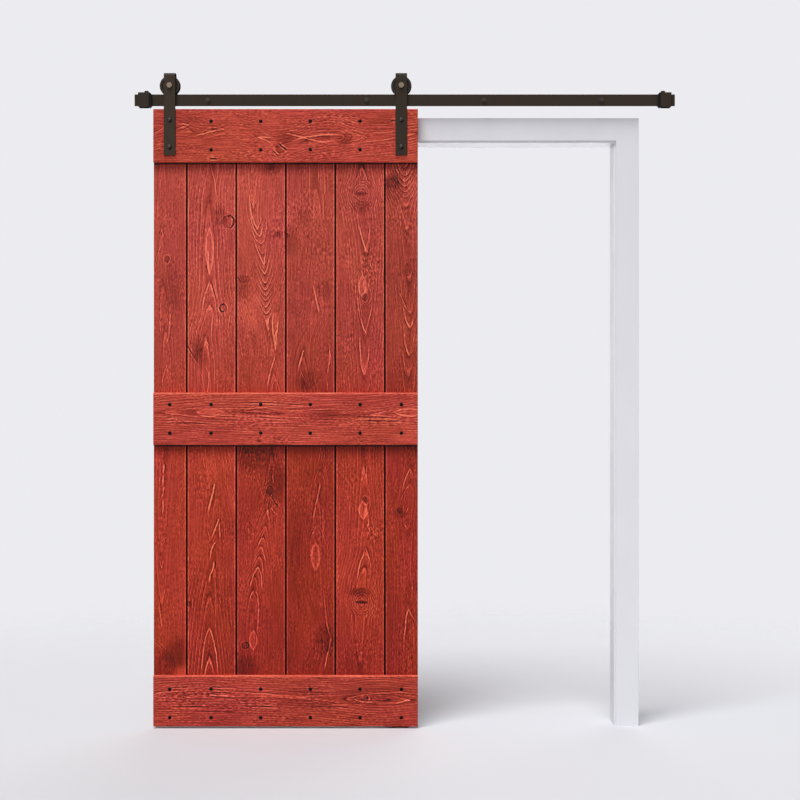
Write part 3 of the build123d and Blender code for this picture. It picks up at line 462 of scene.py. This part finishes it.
def shades(colour, *factors):
    """Darker and lighter shades of a colour, as even stops from 0 to 1."""
    last = len(factors) - 1
    return [
        (index / last, tuple(min(255, part * factor) for part in colour))
        for index, factor in enumerate(factors)
    ]


def feed(place, item):
    """Puts a number, a colour or a worked-out value into a socket."""
    if isinstance(item, Value):
        item = item.socket
    if isinstance(item, bpy.types.NodeSocket):
        place.id_data.links.new(item, place)
    else:
        place.default_value = item


def fed(node, **items):
    """A node with some of its inputs fed. Their names are written with _ for a space."""
    for name, item in items.items():
        feed(node.inputs[name.replace("_", " ")], item)
    return node


class Value:
    """A number that the shader works out at each point. Arithmetic on it adds Math nodes."""

    def __init__(self, socket):
        self.socket = socket

    def step(self, operation, *others, clamp=False):
        """The result of one Math node that starts from this."""
        node = self.socket.id_data.nodes.new("ShaderNodeMath")
        node.operation = operation
        node.use_clamp = clamp
        for place, item in zip(node.inputs, (self, *others)):
            feed(place, item)
        return Value(node.outputs[0])

    __add__ = partialmethod(step, "ADD")
    __sub__ = partialmethod(step, "SUBTRACT")
    __mul__ = partialmethod(step, "MULTIPLY")
    __truediv__ = partialmethod(step, "DIVIDE")
    # Takes a factor and a shift
    scaled = partialmethod(step, "MULTIPLY_ADD")
    clamped = partialmethod(step, "ADD", 0.0, clamp=True)
    root = partialmethod(step, "SQRT")
    fraction = partialmethod(step, "FRACT")
    size = partialmethod(step, "ABSOLUTE")

    def ramp(self, start, end):
        """0 where this is start and 1 where it is end, eased between them."""
        node = self.socket.id_data.nodes.new("ShaderNodeMapRange")
        node.interpolation_type = "SMOOTHSTEP"
        low, high = sorted((start, end))
        at_low, at_high = (0.0, 1.0) if start < end else (1.0, 0.0)
        fed(node, Value=self, From_Min=low, From_Max=high, To_Min=at_low, To_Max=at_high)
        return Value(node.outputs["Result"])

    def through(self, points):
        """This value carried through a smooth curve of (input, output) points."""
        node = self.socket.id_data.nodes.new("ShaderNodeFloatCurve")
        low, high = points[0][0], points[-1][0]
        bottom = min(output for _, output in points)
        top = max(max(output for _, output in points), bottom + 1e-6)
        curve = node.mapping.curves[0]
        scaled = [((x - low) / (high - low), (y - bottom) / (top - bottom)) for x, y in points]
        curve.points[0].location = scaled[0]
        curve.points[1].location = scaled[-1]
        for place in scaled[1:-1]:
            curve.points.new(*place)
        node.mapping.update()
        fed(node, Value=self.scaled(1 / (high - low), -low / (high - low)))
        return Value(node.outputs[0]).scaled(top - bottom, bottom)

    def colour_band(self, stops):
        """A colour from this value and a list of (position, colour)."""
        node = self.socket.id_data.nodes.new("ShaderNodeValToRGB")
        elements = node.color_ramp.elements
        while len(elements) < len(stops):
            elements.new(0.5)
        for element, (position, colour) in zip(elements, stops):
            element.position = position
            element.color = colour
        return fed(node, Fac=self).outputs["Color"]

    def coloured(self, stops):
        """A colour from this value and a list of (position, colour as 0 to 255)."""
        return self.colour_band([(position, linear(colour)) for position, colour in stops])

    def along_lines(self, points):
        """This value carried along straight lines through (input, output) points from 0 to 1."""
        return Value(self.colour_band([(start, (end, end, end, 1.0)) for start, end in points]))


class Formula:
    """A calculation kept as a node group, to be used many times with different numbers."""

    def __init__(self, work):
        self.tree = bpy.data.node_groups.new(work.__name__, "ShaderNodeTree")
        names = list(inspect.signature(work).parameters)
        for name in names:
            self.tree.interface.new_socket(name, in_out="INPUT", socket_type="NodeSocketFloat")
        given = self.tree.nodes.new("NodeGroupInput")
        results = work(*(Value(given.outputs[name]) for name in names))
        # Each result has the name of the input that it takes the place of
        for name, _ in zip(names, results):
            self.tree.interface.new_socket(name, in_out="OUTPUT", socket_type="NodeSocketFloat")
        taken = self.tree.nodes.new("NodeGroupOutput")
        for socket, value in zip(taken.inputs, results):
            feed(socket, value)

    def __call__(self, *items):
        tree = next(item.socket.id_data for item in items if isinstance(item, Value))
        node = tree.nodes.new("ShaderNodeGroup")
        node.node_tree = self.tree
        for socket, item in zip(node.inputs, items):
            feed(socket, item)
        return [Value(socket) for socket in node.outputs]


def noise(x, y, z, detail=2.0, roughness=0.5):
    """Clouds between 0 and 1 about a middle of 0.5, one cloud to each unit of x, y and z."""
    tree = next(item.socket.id_data for item in (x, y, z) if isinstance(item, Value))
    place = tree.nodes.new("ShaderNodeCombineXYZ")
    for socket, item in zip(place.inputs, (x, y, z)):
        feed(socket, item)
    node = tree.nodes.new("ShaderNodeTexNoise")
    fed(node, Scale=1.0, Detail=detail, Roughness=roughness, Vector=place.outputs[0])
    return Value(node.outputs["Fac"])


def new_material(name):
    """A new material with its shader: (material, tree, shader node)."""
    material = bpy.data.materials.new(name)
    material.use_nodes = True
    return material, material.node_tree, material.node_tree.nodes["Principled BSDF"]


def in_parts(tree, vector):
    """The X, Y and Z of a vector socket."""
    parts = fed(tree.nodes.new("ShaderNodeSeparateXYZ"), Vector=vector)
    return [Value(socket) for socket in parts.outputs]


def place_in(tree):
    """Where the point lies at rest, in metres: X, Y and Z."""
    return in_parts(tree, tree.nodes.new("ShaderNodeTexCoord").outputs["Object"])


def bumped(shader, height, distance, strength=0.6):
    """Gives a shader a relief: height is in units of distance, which is in metres."""
    node = shader.id_data.nodes.new("ShaderNodeBump")
    fed(node, Strength=strength, Distance=distance, Height=height)
    fed(shader, Normal=node.outputs["Normal"])


def in_scene(name, data):
    """A new object of the scene."""
    thing = bpy.data.objects.new(name, data)
    bpy.context.scene.collection.objects.link(thing)
    return thing


def between(points, position):
    """The value at a position on straight lines through (position, value) points."""
    for (x0, y0), (x1, y1) in zip(points[:-1], points[1:]):
        if x0 <= position <= x1:
            return y0 + (y1 - y0) * (position - x0) / (x1 - x0)
    return points[-1][1]


def reach_of(across, along, offset, place, half_width, half_length):
    """How far out a point lies of an oval spot, where 1 is the spot's edge."""
    sideways = (across - offset) / half_width
    lengthways = (along - place) / half_length
    return (sideways * sideways + lengthways * lengthways).root()


@Formula
def with_knot(tone, inside, near, count, across, along, lumps, breaks, place, offset, half_width,
              half_length, darkness, boldness, around, count_there):
    """A dark heart, a broken dark rim and a pale ring, with year rings wrapped round them."""
    reach = reach_of(across, along, offset, place, half_width, half_length) + lumps * 1.2
    heart = reach.ramp(1.15, 0.55) * darkness
    past = (reach - 1.0) * half_width
    rim = past.size().ramp(3.0, 1.2) * breaks.scaled(0.65, 0.12)
    pale = past.ramp(1.2, 3.0) * past.ramp(7.0, 4.0) * breaks.scaled(-0.20, 0.24)
    rings = reach_of(across, along, offset, place, ring_gap, ring_gap * 1.3) + lumps * 1.8
    around_it = rings - around + count_there
    return (
        tone + (pale - rim) * boldness - heart,
        inside.step("MAXIMUM", reach.ramp(1.25, 0.95)),
        near.step("MAXIMUM", (rings / around).ramp(1.20, 0.70)),
        count.step("SMOOTH_MIN", around_it, 0.9),
    )


@Formula
def with_eye(tone, across, along, jag, place, offset, half_length, half_width, strength):
    """An oval that ends in points, with a bright outline and a slightly bright inside."""
    sideways = (across - offset).size() / half_width
    lengthways = (along - place) / half_length
    reach = sideways + lengthways * lengthways + jag * 0.5
    outline = ((reach - 1.0).size() * half_width).ramp(3.0, 1.0) * 0.33
    return [tone + (outline + reach.ramp(1.0, 0.8) * 0.12) * strength]


@Formula
def with_streak(tone, across, along, jag, centre, tip, length, width, strength):
    """A bright line with a dark line on either side, strongest at its tip."""
    run = (along - tip) / length
    off = (across - centre + jag * 7).size() / width
    core = off.ramp(1.7, 0.5) * 0.46
    beside = (off - 2.6).size().ramp(1.5, 0.4) * 0.26
    seen = run.ramp(-0.03, 0.04) * run.ramp(1.06, 0.66)
    return [tone + (core - beside) * (seen * strength)]


@Formula
def with_patch(tone, across, along, wander, place, offset, half_length, half_width, strength):
    """A soft darker cloud."""
    reach = reach_of(across, along, offset, place, half_width, half_length) + wander * 1.8
    return [tone - reach.ramp(1.35, 0.45) * strength]


@Formula
def with_joint(tone, across, deep, place):
    """Painted shade in the vee of a joint, and painted highlights on the edges beside it."""
    apart = (across - place).size()
    gathered = apart.ramp(4.4, 2.2)
    worn = apart.ramp(3.4, 4.6) * apart.ramp(8.2, 5.6) * deep.ramp(2.0, 0.6)
    # Painted shade in the vee, painted highlights on the edges beside it
    return [tone - gathered * 0.66 + worn * 0.26]


@Formula
def with_lap(tone, along, deep, place):
    """Painted shade along the lower edge of a batten, and a painted shadow that hangs below it."""
    below = along.scaled(-1.0, place)
    near = below.ramp(-1, 1) * deep.ramp(4, 2)
    return [tone - near * (below.ramp(8, 3) * 0.50 + below.ramp(55, 0) * 0.20)]


def rings_there(board, place, offset):
    """The count of year rings at a place on a board."""
    side = abs(offset - between(board.heart, place))
    leg = math.hypot(side, board.roundness) - board.roundness
    return between(board.rings, place) + leg / board.pitch


def figure(board, across, along, deep, wander, jag, lumps, streak):
    """A board's own figure: its tone about 0, the rings' profile, their count and the dapples."""
    side = across + wander * 12 - along.through(board.heart)
    leg = (side * side + board.roundness**2).root() - board.roundness
    count = along.through(board.rings) + leg / board.pitch + deep / 10
    count = count + wander * 0.5 + jag * 0.30
    tone = inside = near = dappled = across * 0.0
    breaks = streak.ramp(0.42, 0.60)
    for knot in board.knots:
        there = rings_there(board, knot[0], knot[1])
        tone, inside, near, count = with_knot(
            tone, inside, near, count, across, along, lumps, breaks, *knot, there
        )
    for eye in board.eyes:
        tone, = with_eye(tone, across, along, jag, *eye)
    for strength, *numbers in board.streaks:
        places, offsets = numbers[::2], numbers[1::2]
        centre = along.through(sorted(zip(places, offsets)))
        tip, tail = places[0], places[-1]
        width = 1.0 + 0.9 * abs(strength)
        tone, = with_streak(tone, across, along, jag, centre, tip, tail - tip, width, strength)
    for patch in board.patches:
        tone, = with_patch(tone, across, along, wander, *patch)
    for patch in board.dapples:
        dappled, = with_patch(dappled, across, along, wander, *patch)
    middle = (side.size() / board.spread).ramp(1.0, 0.30).scaled(0.80, 0.20)
    show = streak.ramp(0.36, 0.62).scaled(0.65, 0.45) * along.through(board.shown) * middle
    show = (show + near * 0.24) * inside.scaled(-1.0, 1.0)
    profile = (count.fraction().along_lines(ring_stops) - 0.5) * show
    return tone, profile, count, dappled


def stained_pine(name, origin, upright, seed, richness, joints=(), arris=(), laps=()):
    """Red-stained pine on a board.

    Places on it are counted from origin, and upright says that it stands. richness is how much
    fuller the red is along it. In metres, joints are where its tongued edges are, with painted shade
    in their vee and painted highlights beside them; the lit edges are its upper edges, with a painted
    highlight; and laps are where a batten's lower edge crosses it, with painted shade and a painted
    shadow below.
    """
    board = boards[name]
    material, tree, shader = new_material(f"pine_{name}")
    x, deep, z = ((part - start) * mm_in_metre for part, start in zip(place_in(tree), origin))
    across, along = (x, z) if upright else (z, x)
    wander = noise(across * 0.011 + seed, along * 0.0045, deep * 0.011) - 0.5
    jag = noise(across * 0.12 + seed, along * 0.055, deep * 0.12, detail=3.0, roughness=0.6) - 0.5
    lumps = noise(across * 0.042 + seed, along * 0.042, deep * 0.02) - 0.5
    streak = noise(across * 0.038 + seed, along * 0.007, deep * 0.03, roughness=0.6)
    marks, profile, count, dappled = figure(board, across, along, deep, wander, jag, lumps, streak)

    lines = noise(count * 3.5, along * 0.006 + seed, 3.1, detail=3.0, roughness=0.65) - 0.5
    fibre = noise(across * 0.3 + seed, along * 0.011, deep * 0.3, detail=3.0, roughness=0.75) - 0.5
    grit = noise(across * 0.33, along * 0.08 + seed, deep * 0.33, roughness=0.6) - 0.5
    rough = noise(across * 0.022 + seed, along * 0.009, 5.5).ramp(0.36, 0.62)
    dashes = noise(across * 0.21 + seed, along * 0.07, deep * 0.21, roughness=0.7) - 0.5
    blotch = noise(across * 0.008 + seed, along * 0.0034, 7.7, detail=4.0, roughness=0.58) - 0.5
    pores = noise(across * 0.9 + seed, along * 0.05, deep * 0.9, detail=1.0)
    drift = noise(across * 0.007 + seed, along * 0.0026, 9.1, detail=3.0) - 0.5

    grain = (lines * 0.40 + fibre * 0.72) * board.crispness + grit * rough.scaled(0.90, 0.20)
    tone = marks + profile * 0.95 + grain + dashes * dappled.scaled(-1.8, 0.3)
    # The tone along the board is partly painted light, lighter towards the top of the leaf
    tone = tone + blotch * 0.28 + along.through(board.tone) + 0.49
    # Painted shade in the vee of each joint, with painted highlights on the edges beside it
    for place in joints:
        tone, = with_joint(tone, across, deep, (place - origin[0]) * mm_in_metre)
    # A painted highlight along each upper edge
    for place in arris:
        worn = (across - (place - origin[2]) * mm_in_metre).size().ramp(6.5, 3.8)
        tone = tone + worn * 0.30
    # Painted shade and a painted shadow below each batten's lower edge
    for place in laps:
        tone, = with_lap(tone, along, deep, (place - origin[2]) * mm_in_metre)
    tone = tone - pores.ramp(0.62, 0.74) * 0.12
    tint = fed(
        tree.nodes.new("ShaderNodeHueSaturation"),
        Color=tone.clamped().coloured(stain_stops),
        Hue=drift.scaled(0.014, 0.5),
        Saturation=along.through(richness) + drift.scaled(0.04, 1.0),
    )
    dullness = (lines * -0.25 + grit * 0.25 + 0.60).clamped()
    fed(shader, Base_Color=tint.outputs["Color"], Roughness=dullness, Specular_IOR_Level=0.16)
    bumped(shader, profile * 0.7 + lines * 0.4 + fibre * 0.7 + grit * 0.5, 0.0008)
    dress(name, material)


def dress(name, material):
    """Gives a CAD node a finish."""
    slots = nodes[name].data.materials
    for index in range(len(slots)):
        slots[index] = material


def dress_planks():
    """Stained pine on the six planks, each with its own figure."""
    names = [name for name in boards if name.startswith("plank")]
    edges = [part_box(name)[0].x for name in names]
    edges.append(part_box("plank_6")[1].x)
    _, front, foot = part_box("plank_1")[0]
    laps = [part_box(name)[0].z for name in ("batten_top", "batten_middle")]
    for index, name in enumerate(names):
        sides = edges[index:index + 2]
        origin = (sum(sides) / 2, front, foot)
        joints = [place for place in sides if place in edges[1:-1]]
        seed = plank_seed_step * index
        stained_pine(name, origin, True, seed, plank_richness, joints=joints, laps=laps)


def dress_battens():
    """Stained pine on the three battens, with the grain running across the leaf."""
    names = [name for name in boards if name.startswith("batten")]
    for index, name in enumerate(names):
        low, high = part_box(name)
        origin = (low.x, low.y, (low.z + high.z) / 2)
        # The middle and bottom battens get a painted highlight along their upper edge
        arris = [] if name == "batten_top" else [high.z]
        seed = batten_seed_start + batten_seed_step * index
        stained_pine(name, origin, False, seed, batten_richness, arris=arris)


def flatness(tree):
    """Painted shade: 1 on faces square to Y and less on those that turn away, least to the lower right."""
    x, y, z = in_parts(tree, tree.nodes.new("ShaderNodeNewGeometry").outputs["Normal"])
    return y.size().ramp(0.30, 0.95) * (z * 0.8 - x * 0.6).ramp(-0.60, -0.05).scaled(0.9, 0.1)


def painted_metal(name, colour, roughness, grain=900.0, shine=0.25):
    """Satin powder coat with a fine grain and a little unevenness, with painted shade on its edges, most to
    the lower right.
    """
    material, tree, shader = new_material(name)
    x, y, z = place_in(tree)
    fine = noise(x * grain, y * grain, z * grain) - 0.5
    broad = noise(x * 24, y * 24, z * 24, detail=3.0) - 0.5
    # Painted shade, darker where faces turn away from Y and most to the lower right
    flat = flatness(tree)
    fed(
        shader,
        Base_Color=((fine * 0.15 + broad * 0.22 + 0.75) * flat).coloured(shades(colour, 0.25, 0.80, 1.22)),
        Roughness=(broad * 0.20 + fine * 0.10 + roughness).clamped(),
        # The painted shade also takes the shine down where faces turn away and to the lower right
        Specular_IOR_Level=flat * shine,
    )
    bumped(shader, fine + broad * 0.5, 0.00012)
    return material


def bare_metal(name, colour, roughness):
    """Turned or plated steel with fine marks."""
    material, tree, shader = new_material(name)
    x, y, z = place_in(tree)
    marks = noise(x * 400, y * 60, z * 400, detail=3.0, roughness=0.7) - 0.5
    broad = noise(x * 40, y * 40, z * 40) - 0.5
    fed(
        shader,
        Base_Color=(marks * 0.5 + broad * 0.5 + 0.5).clamped().coloured(shades(colour, 0.86, 1.10)),
        Roughness=(marks * 0.16 + broad * 0.12 + roughness).clamped(),
        Metallic=1.0,
    )
    bumped(shader, marks, 0.00004, 0.5)
    return material


def white_paint():
    """Brushed white paint on the casing and jamb."""
    material, tree, shader = new_material("white_brushed_paint")
    x, y, z = place_in(tree)
    strokes = noise(x * 260, y * 260, z * 9, detail=3.0, roughness=0.6) - 0.5
    soft = noise(x * 14, y * 14, z * 5, detail=3.0) - 0.5
    fed(
        shader,
        Base_Color=(strokes * 0.25 + soft * 0.6 + 0.5).clamped().coloured(white_stops),
        Roughness=(strokes * 0.12 + soft * 0.10 + 0.42).clamped(),
    )
    bumped(shader, strokes + soft, 0.00025, 0.5)
    return material


def matte(name, colour, roughness, grain):
    """Rubber or moulded plastic with a dull grain."""
    material, tree, shader = new_material(name)
    x, y, z = place_in(tree)
    fine = noise(x * grain, y * grain, z * grain, detail=3.0, roughness=0.6) - 0.5
    broad = noise(x * 60, y * 60, z * 60) - 0.5
    fed(
        shader,
        Base_Color=(fine * 0.5 + broad * 0.6 + 0.5).clamped().coloured(shades(colour, 0.75, 1.35)),
        Roughness=(fine * 0.2 + roughness).clamped(),
        Specular_IOR_Level=0.2,
    )
    bumped(shader, fine, 0.0002)
    return material


def both(*names):
    """The left and the right one of each piece."""
    return [f"{name}_{side}" for name in names for side in ("left", "right")]


def dress_hardware():
    """Finishes of all that isn't pine."""
    bronze = painted_metal("bronze_powder_coat", (49, 39, 31), 0.50, shine=0.12)
    # A lighter copy of the coat for the left strap: painted light, as that strap caught more light
    pale_bronze = painted_metal("bronze_powder_coat_painted_light", (56, 46, 36), 0.50, shine=0.12)
    wheel_coat = painted_metal("wheel_powder_coat", (46, 37, 30), 0.44, shine=0.2)
    fastener = painted_metal("bronze_fastener", (50, 41, 34), 0.34)
    axle = painted_metal("worn_bronze_axle", (128, 110, 90), 0.40, grain=500.0, shine=0.4)
    screw_coat = painted_metal("black_screw_coat", (3, 6, 6), 0.45, shine=0.10)
    zinc = bare_metal("zinc_plate", (166, 166, 164), 0.44)
    bearing_steel = bare_metal("bearing_steel_finish", (196, 196, 198), 0.18)
    cage_nylon = matte("cage_nylon", (70, 60, 48), 0.55, 700.0)
    rubber = matte("bumper_rubber_finish", (7, 7, 7), 0.85, 500.0)
    disc_nylon = matte("disc_nylon", (34, 34, 36), 0.5, 600.0)
    finishes = {
        bronze: ["rail", "standoffs", "guide_bracket", "hanger_strap_right", *both("stop_block")],
        pale_bronze: ["hanger_strap_left"],
        wheel_coat: both("wheel"),
        fastener: ["lag_washers", "stop_screws", *both("strap_bolts")],
        axle: both("axle_bolt", "axle_nut"),
        screw_coat: ["screws_batten_top", "screws_batten_middle", "screws_batten_bottom"],
        zinc: ["disc_screws", "guide_screws", *both("axle_spacers", "sleeve_nuts")],
        bearing_steel: both("bearing_inner", "bearing_outer", "bearing_balls"),
        cage_nylon: both("bearing_cage"),
        rubber: both("stop_bumper"),
        disc_nylon: ["anti_jump_discs"],
        white_paint(): ["casing_head", "jamb_head", *both("casing", "jamb")],
    }
    for material, names in finishes.items():
        for name in names:
            dress(name, material)
    make_lag_bolts(fastener)


def head_rings(low, head_back, flat):
    """A hexagon head with its upper corners turned off, as rings of (radius, Y)."""
    side = math.pi / 3
    turns = [2 * math.pi * k / points_round_bolt for k in range(points_round_bolt)]
    hexagon = [flat / math.cos(turn % side - side / 2) for turn in turns]
    return [
        [(flat, low)] * points_round_bolt,
        [(reach, low + (reach - flat) / 2) for reach in hexagon],
        [(reach, head_back) for reach in hexagon],
        [(bolt_shank_radius, head_back)] * points_round_bolt,
        [(bolt_shank_radius, 0.0)] * points_round_bolt,
    ]


def thread_rings(tip):
    """A thread from Y = 0 to a point at Y = tip, as rings of (radius, Y)."""
    rings = []
    step = thread_pitch / thread_rows_per_turn
    for row in range(1, int(tip / step) + 1):
        y = row * step
        taper = min(1.0, (tip - y) / bolt_point_length)
        start = min(1.0, y / thread_pitch)
        ring = []
        for k in range(points_round_bolt):
            phase = (y / thread_pitch - k / points_round_bolt) % 1.0
            ridge = max(0.0, 0.65 - abs(2 * phase - 1)) / 0.65
            ring.append(((thread_root + (thread_crest - thread_root) * ridge * start) * taper, y))
        rings.append(ring)
    return rings


def make_lag_bolts(material):
    """The lag bolts with a cut thread, in place of the plain ones."""
    low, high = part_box("lag_bolts")
    head_back = low.y + bolt_head_height
    rings = head_rings(low.y, head_back, high.z) + thread_rings(high.y)
    corners = [vertex.co for vertex in nodes["lag_bolts"].data.vertices]
    places = sorted({round(corner.x, 6) for corner in corners if corner.y > high.y - same_place})
    points = []
    faces = []
    count = points_round_bolt
    for place in places:
        start = len(points)
        for ring in rings:
            for k, (radius, y) in enumerate(ring):
                turn = 2 * math.pi * k / count
                points.append((place + radius * math.cos(turn), y, radius * math.sin(turn)))
        for row in range(len(rings) - 1):
            here = start + row * count
            for k in range(count):
                after = (k + 1) % count
                faces.append((here + k, here + after, here + count + after, here + count + k))
        faces.append(tuple(range(start + count - 1, start - 1, -1)))
        faces.append(tuple(range(len(points) - count, len(points))))
    mesh = bpy.data.meshes.new("threaded_lag_bolts")
    mesh.from_pydata(points, [], faces)
    mesh.materials.append(material)
    for face in mesh.polygons:
        face.use_smooth = face.center.y > head_back + bolt_round_from
    bolts = in_scene("threaded_lag_bolts", mesh)
    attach(bolts, "root")
    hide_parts("lag_bolts")


def make_floor():
    """A pale floor that fades into the background well away from the door."""
    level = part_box("casing_right")[0].z
    mid_x, mid_y = floor_centre
    corners = [(-1, -1), (1, -1), (1, 1), (-1, 1)]
    points = [(mid_x + floor_half * i, mid_y + floor_half * j, level) for i, j in corners]
    mesh = bpy.data.meshes.new("floor")
    mesh.from_pydata(points, [], [(0, 1, 2, 3)])
    floor = in_scene("floor", mesh)
    material, tree, shader = new_material("pale_floor")
    x, y, z = place_in(tree)
    reach = reach_of(x, y, mid_x, mid_y, 1.0, 1.0)
    full, gone = floor_fade
    fed(shader, Base_Color=linear(floor_colour), Roughness=0.9, Alpha=reach.ramp(gone, full))
    mesh.materials.append(material)
    floor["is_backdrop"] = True


def make_lamps():
    """Even light from each lamp, which travels one way from a wide, soft source."""
    for name, (way, strength, spread) in lamps.items():
        lamp = bpy.data.lights.new(name, "SUN")
        lamp.energy = strength
        lamp.angle = math.radians(spread)
        holder = in_scene(name, lamp)
        holder.rotation_euler = Vector(way).to_track_quat("-Z", "Y").to_euler()


def make_world():
    """Even light from all round, behind a plain pale background."""
    world = bpy.data.worlds.new("studio")
    world.use_nodes = True
    tree = world.node_tree
    tree.nodes.clear()
    light = tree.nodes.new("ShaderNodeBackground")
    fed(light, Color=(*sky_colour, 1.0), Strength=sky_strength)
    seen = tree.nodes.new("ShaderNodeBackground")
    fed(seen, Color=linear(background_colour), Strength=1.0)
    path = tree.nodes.new("ShaderNodeLightPath")
    rays = Value(path.outputs["Is Camera Ray"]) + Value(path.outputs["Is Glossy Ray"])
    rays = (rays + Value(path.outputs["Is Transmission Ray"])).clamped()
    mix = tree.nodes.new("ShaderNodeMixShader")
    for socket, item in zip(mix.inputs, (rays, light.outputs[0], seen.outputs[0])):
        feed(socket, item)
    fed(tree.nodes.new("ShaderNodeOutputWorld"), Surface=mix.outputs[0])
    bpy.context.scene.world = world


def make_camera():
    """A camera at the photograph's viewpoint."""
    data = bpy.data.cameras.new("camera")
    data.lens = camera_lens
    data.sensor_width = camera_sensor
    camera = in_scene("camera", data)
    camera.location = camera_place
    camera.rotation_euler = (math.pi / 2, 0.0, 0.0)
    bpy.context.scene.camera = camera


dress_planks()
dress_battens()
dress_hardware()
make_floor()
make_world()
make_lamps()
make_camera()
bpy.context.scene.view_settings.view_transform = "Standard"

visual_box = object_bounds()
boxes = {"cad": cad_box, "visual": visual_box}
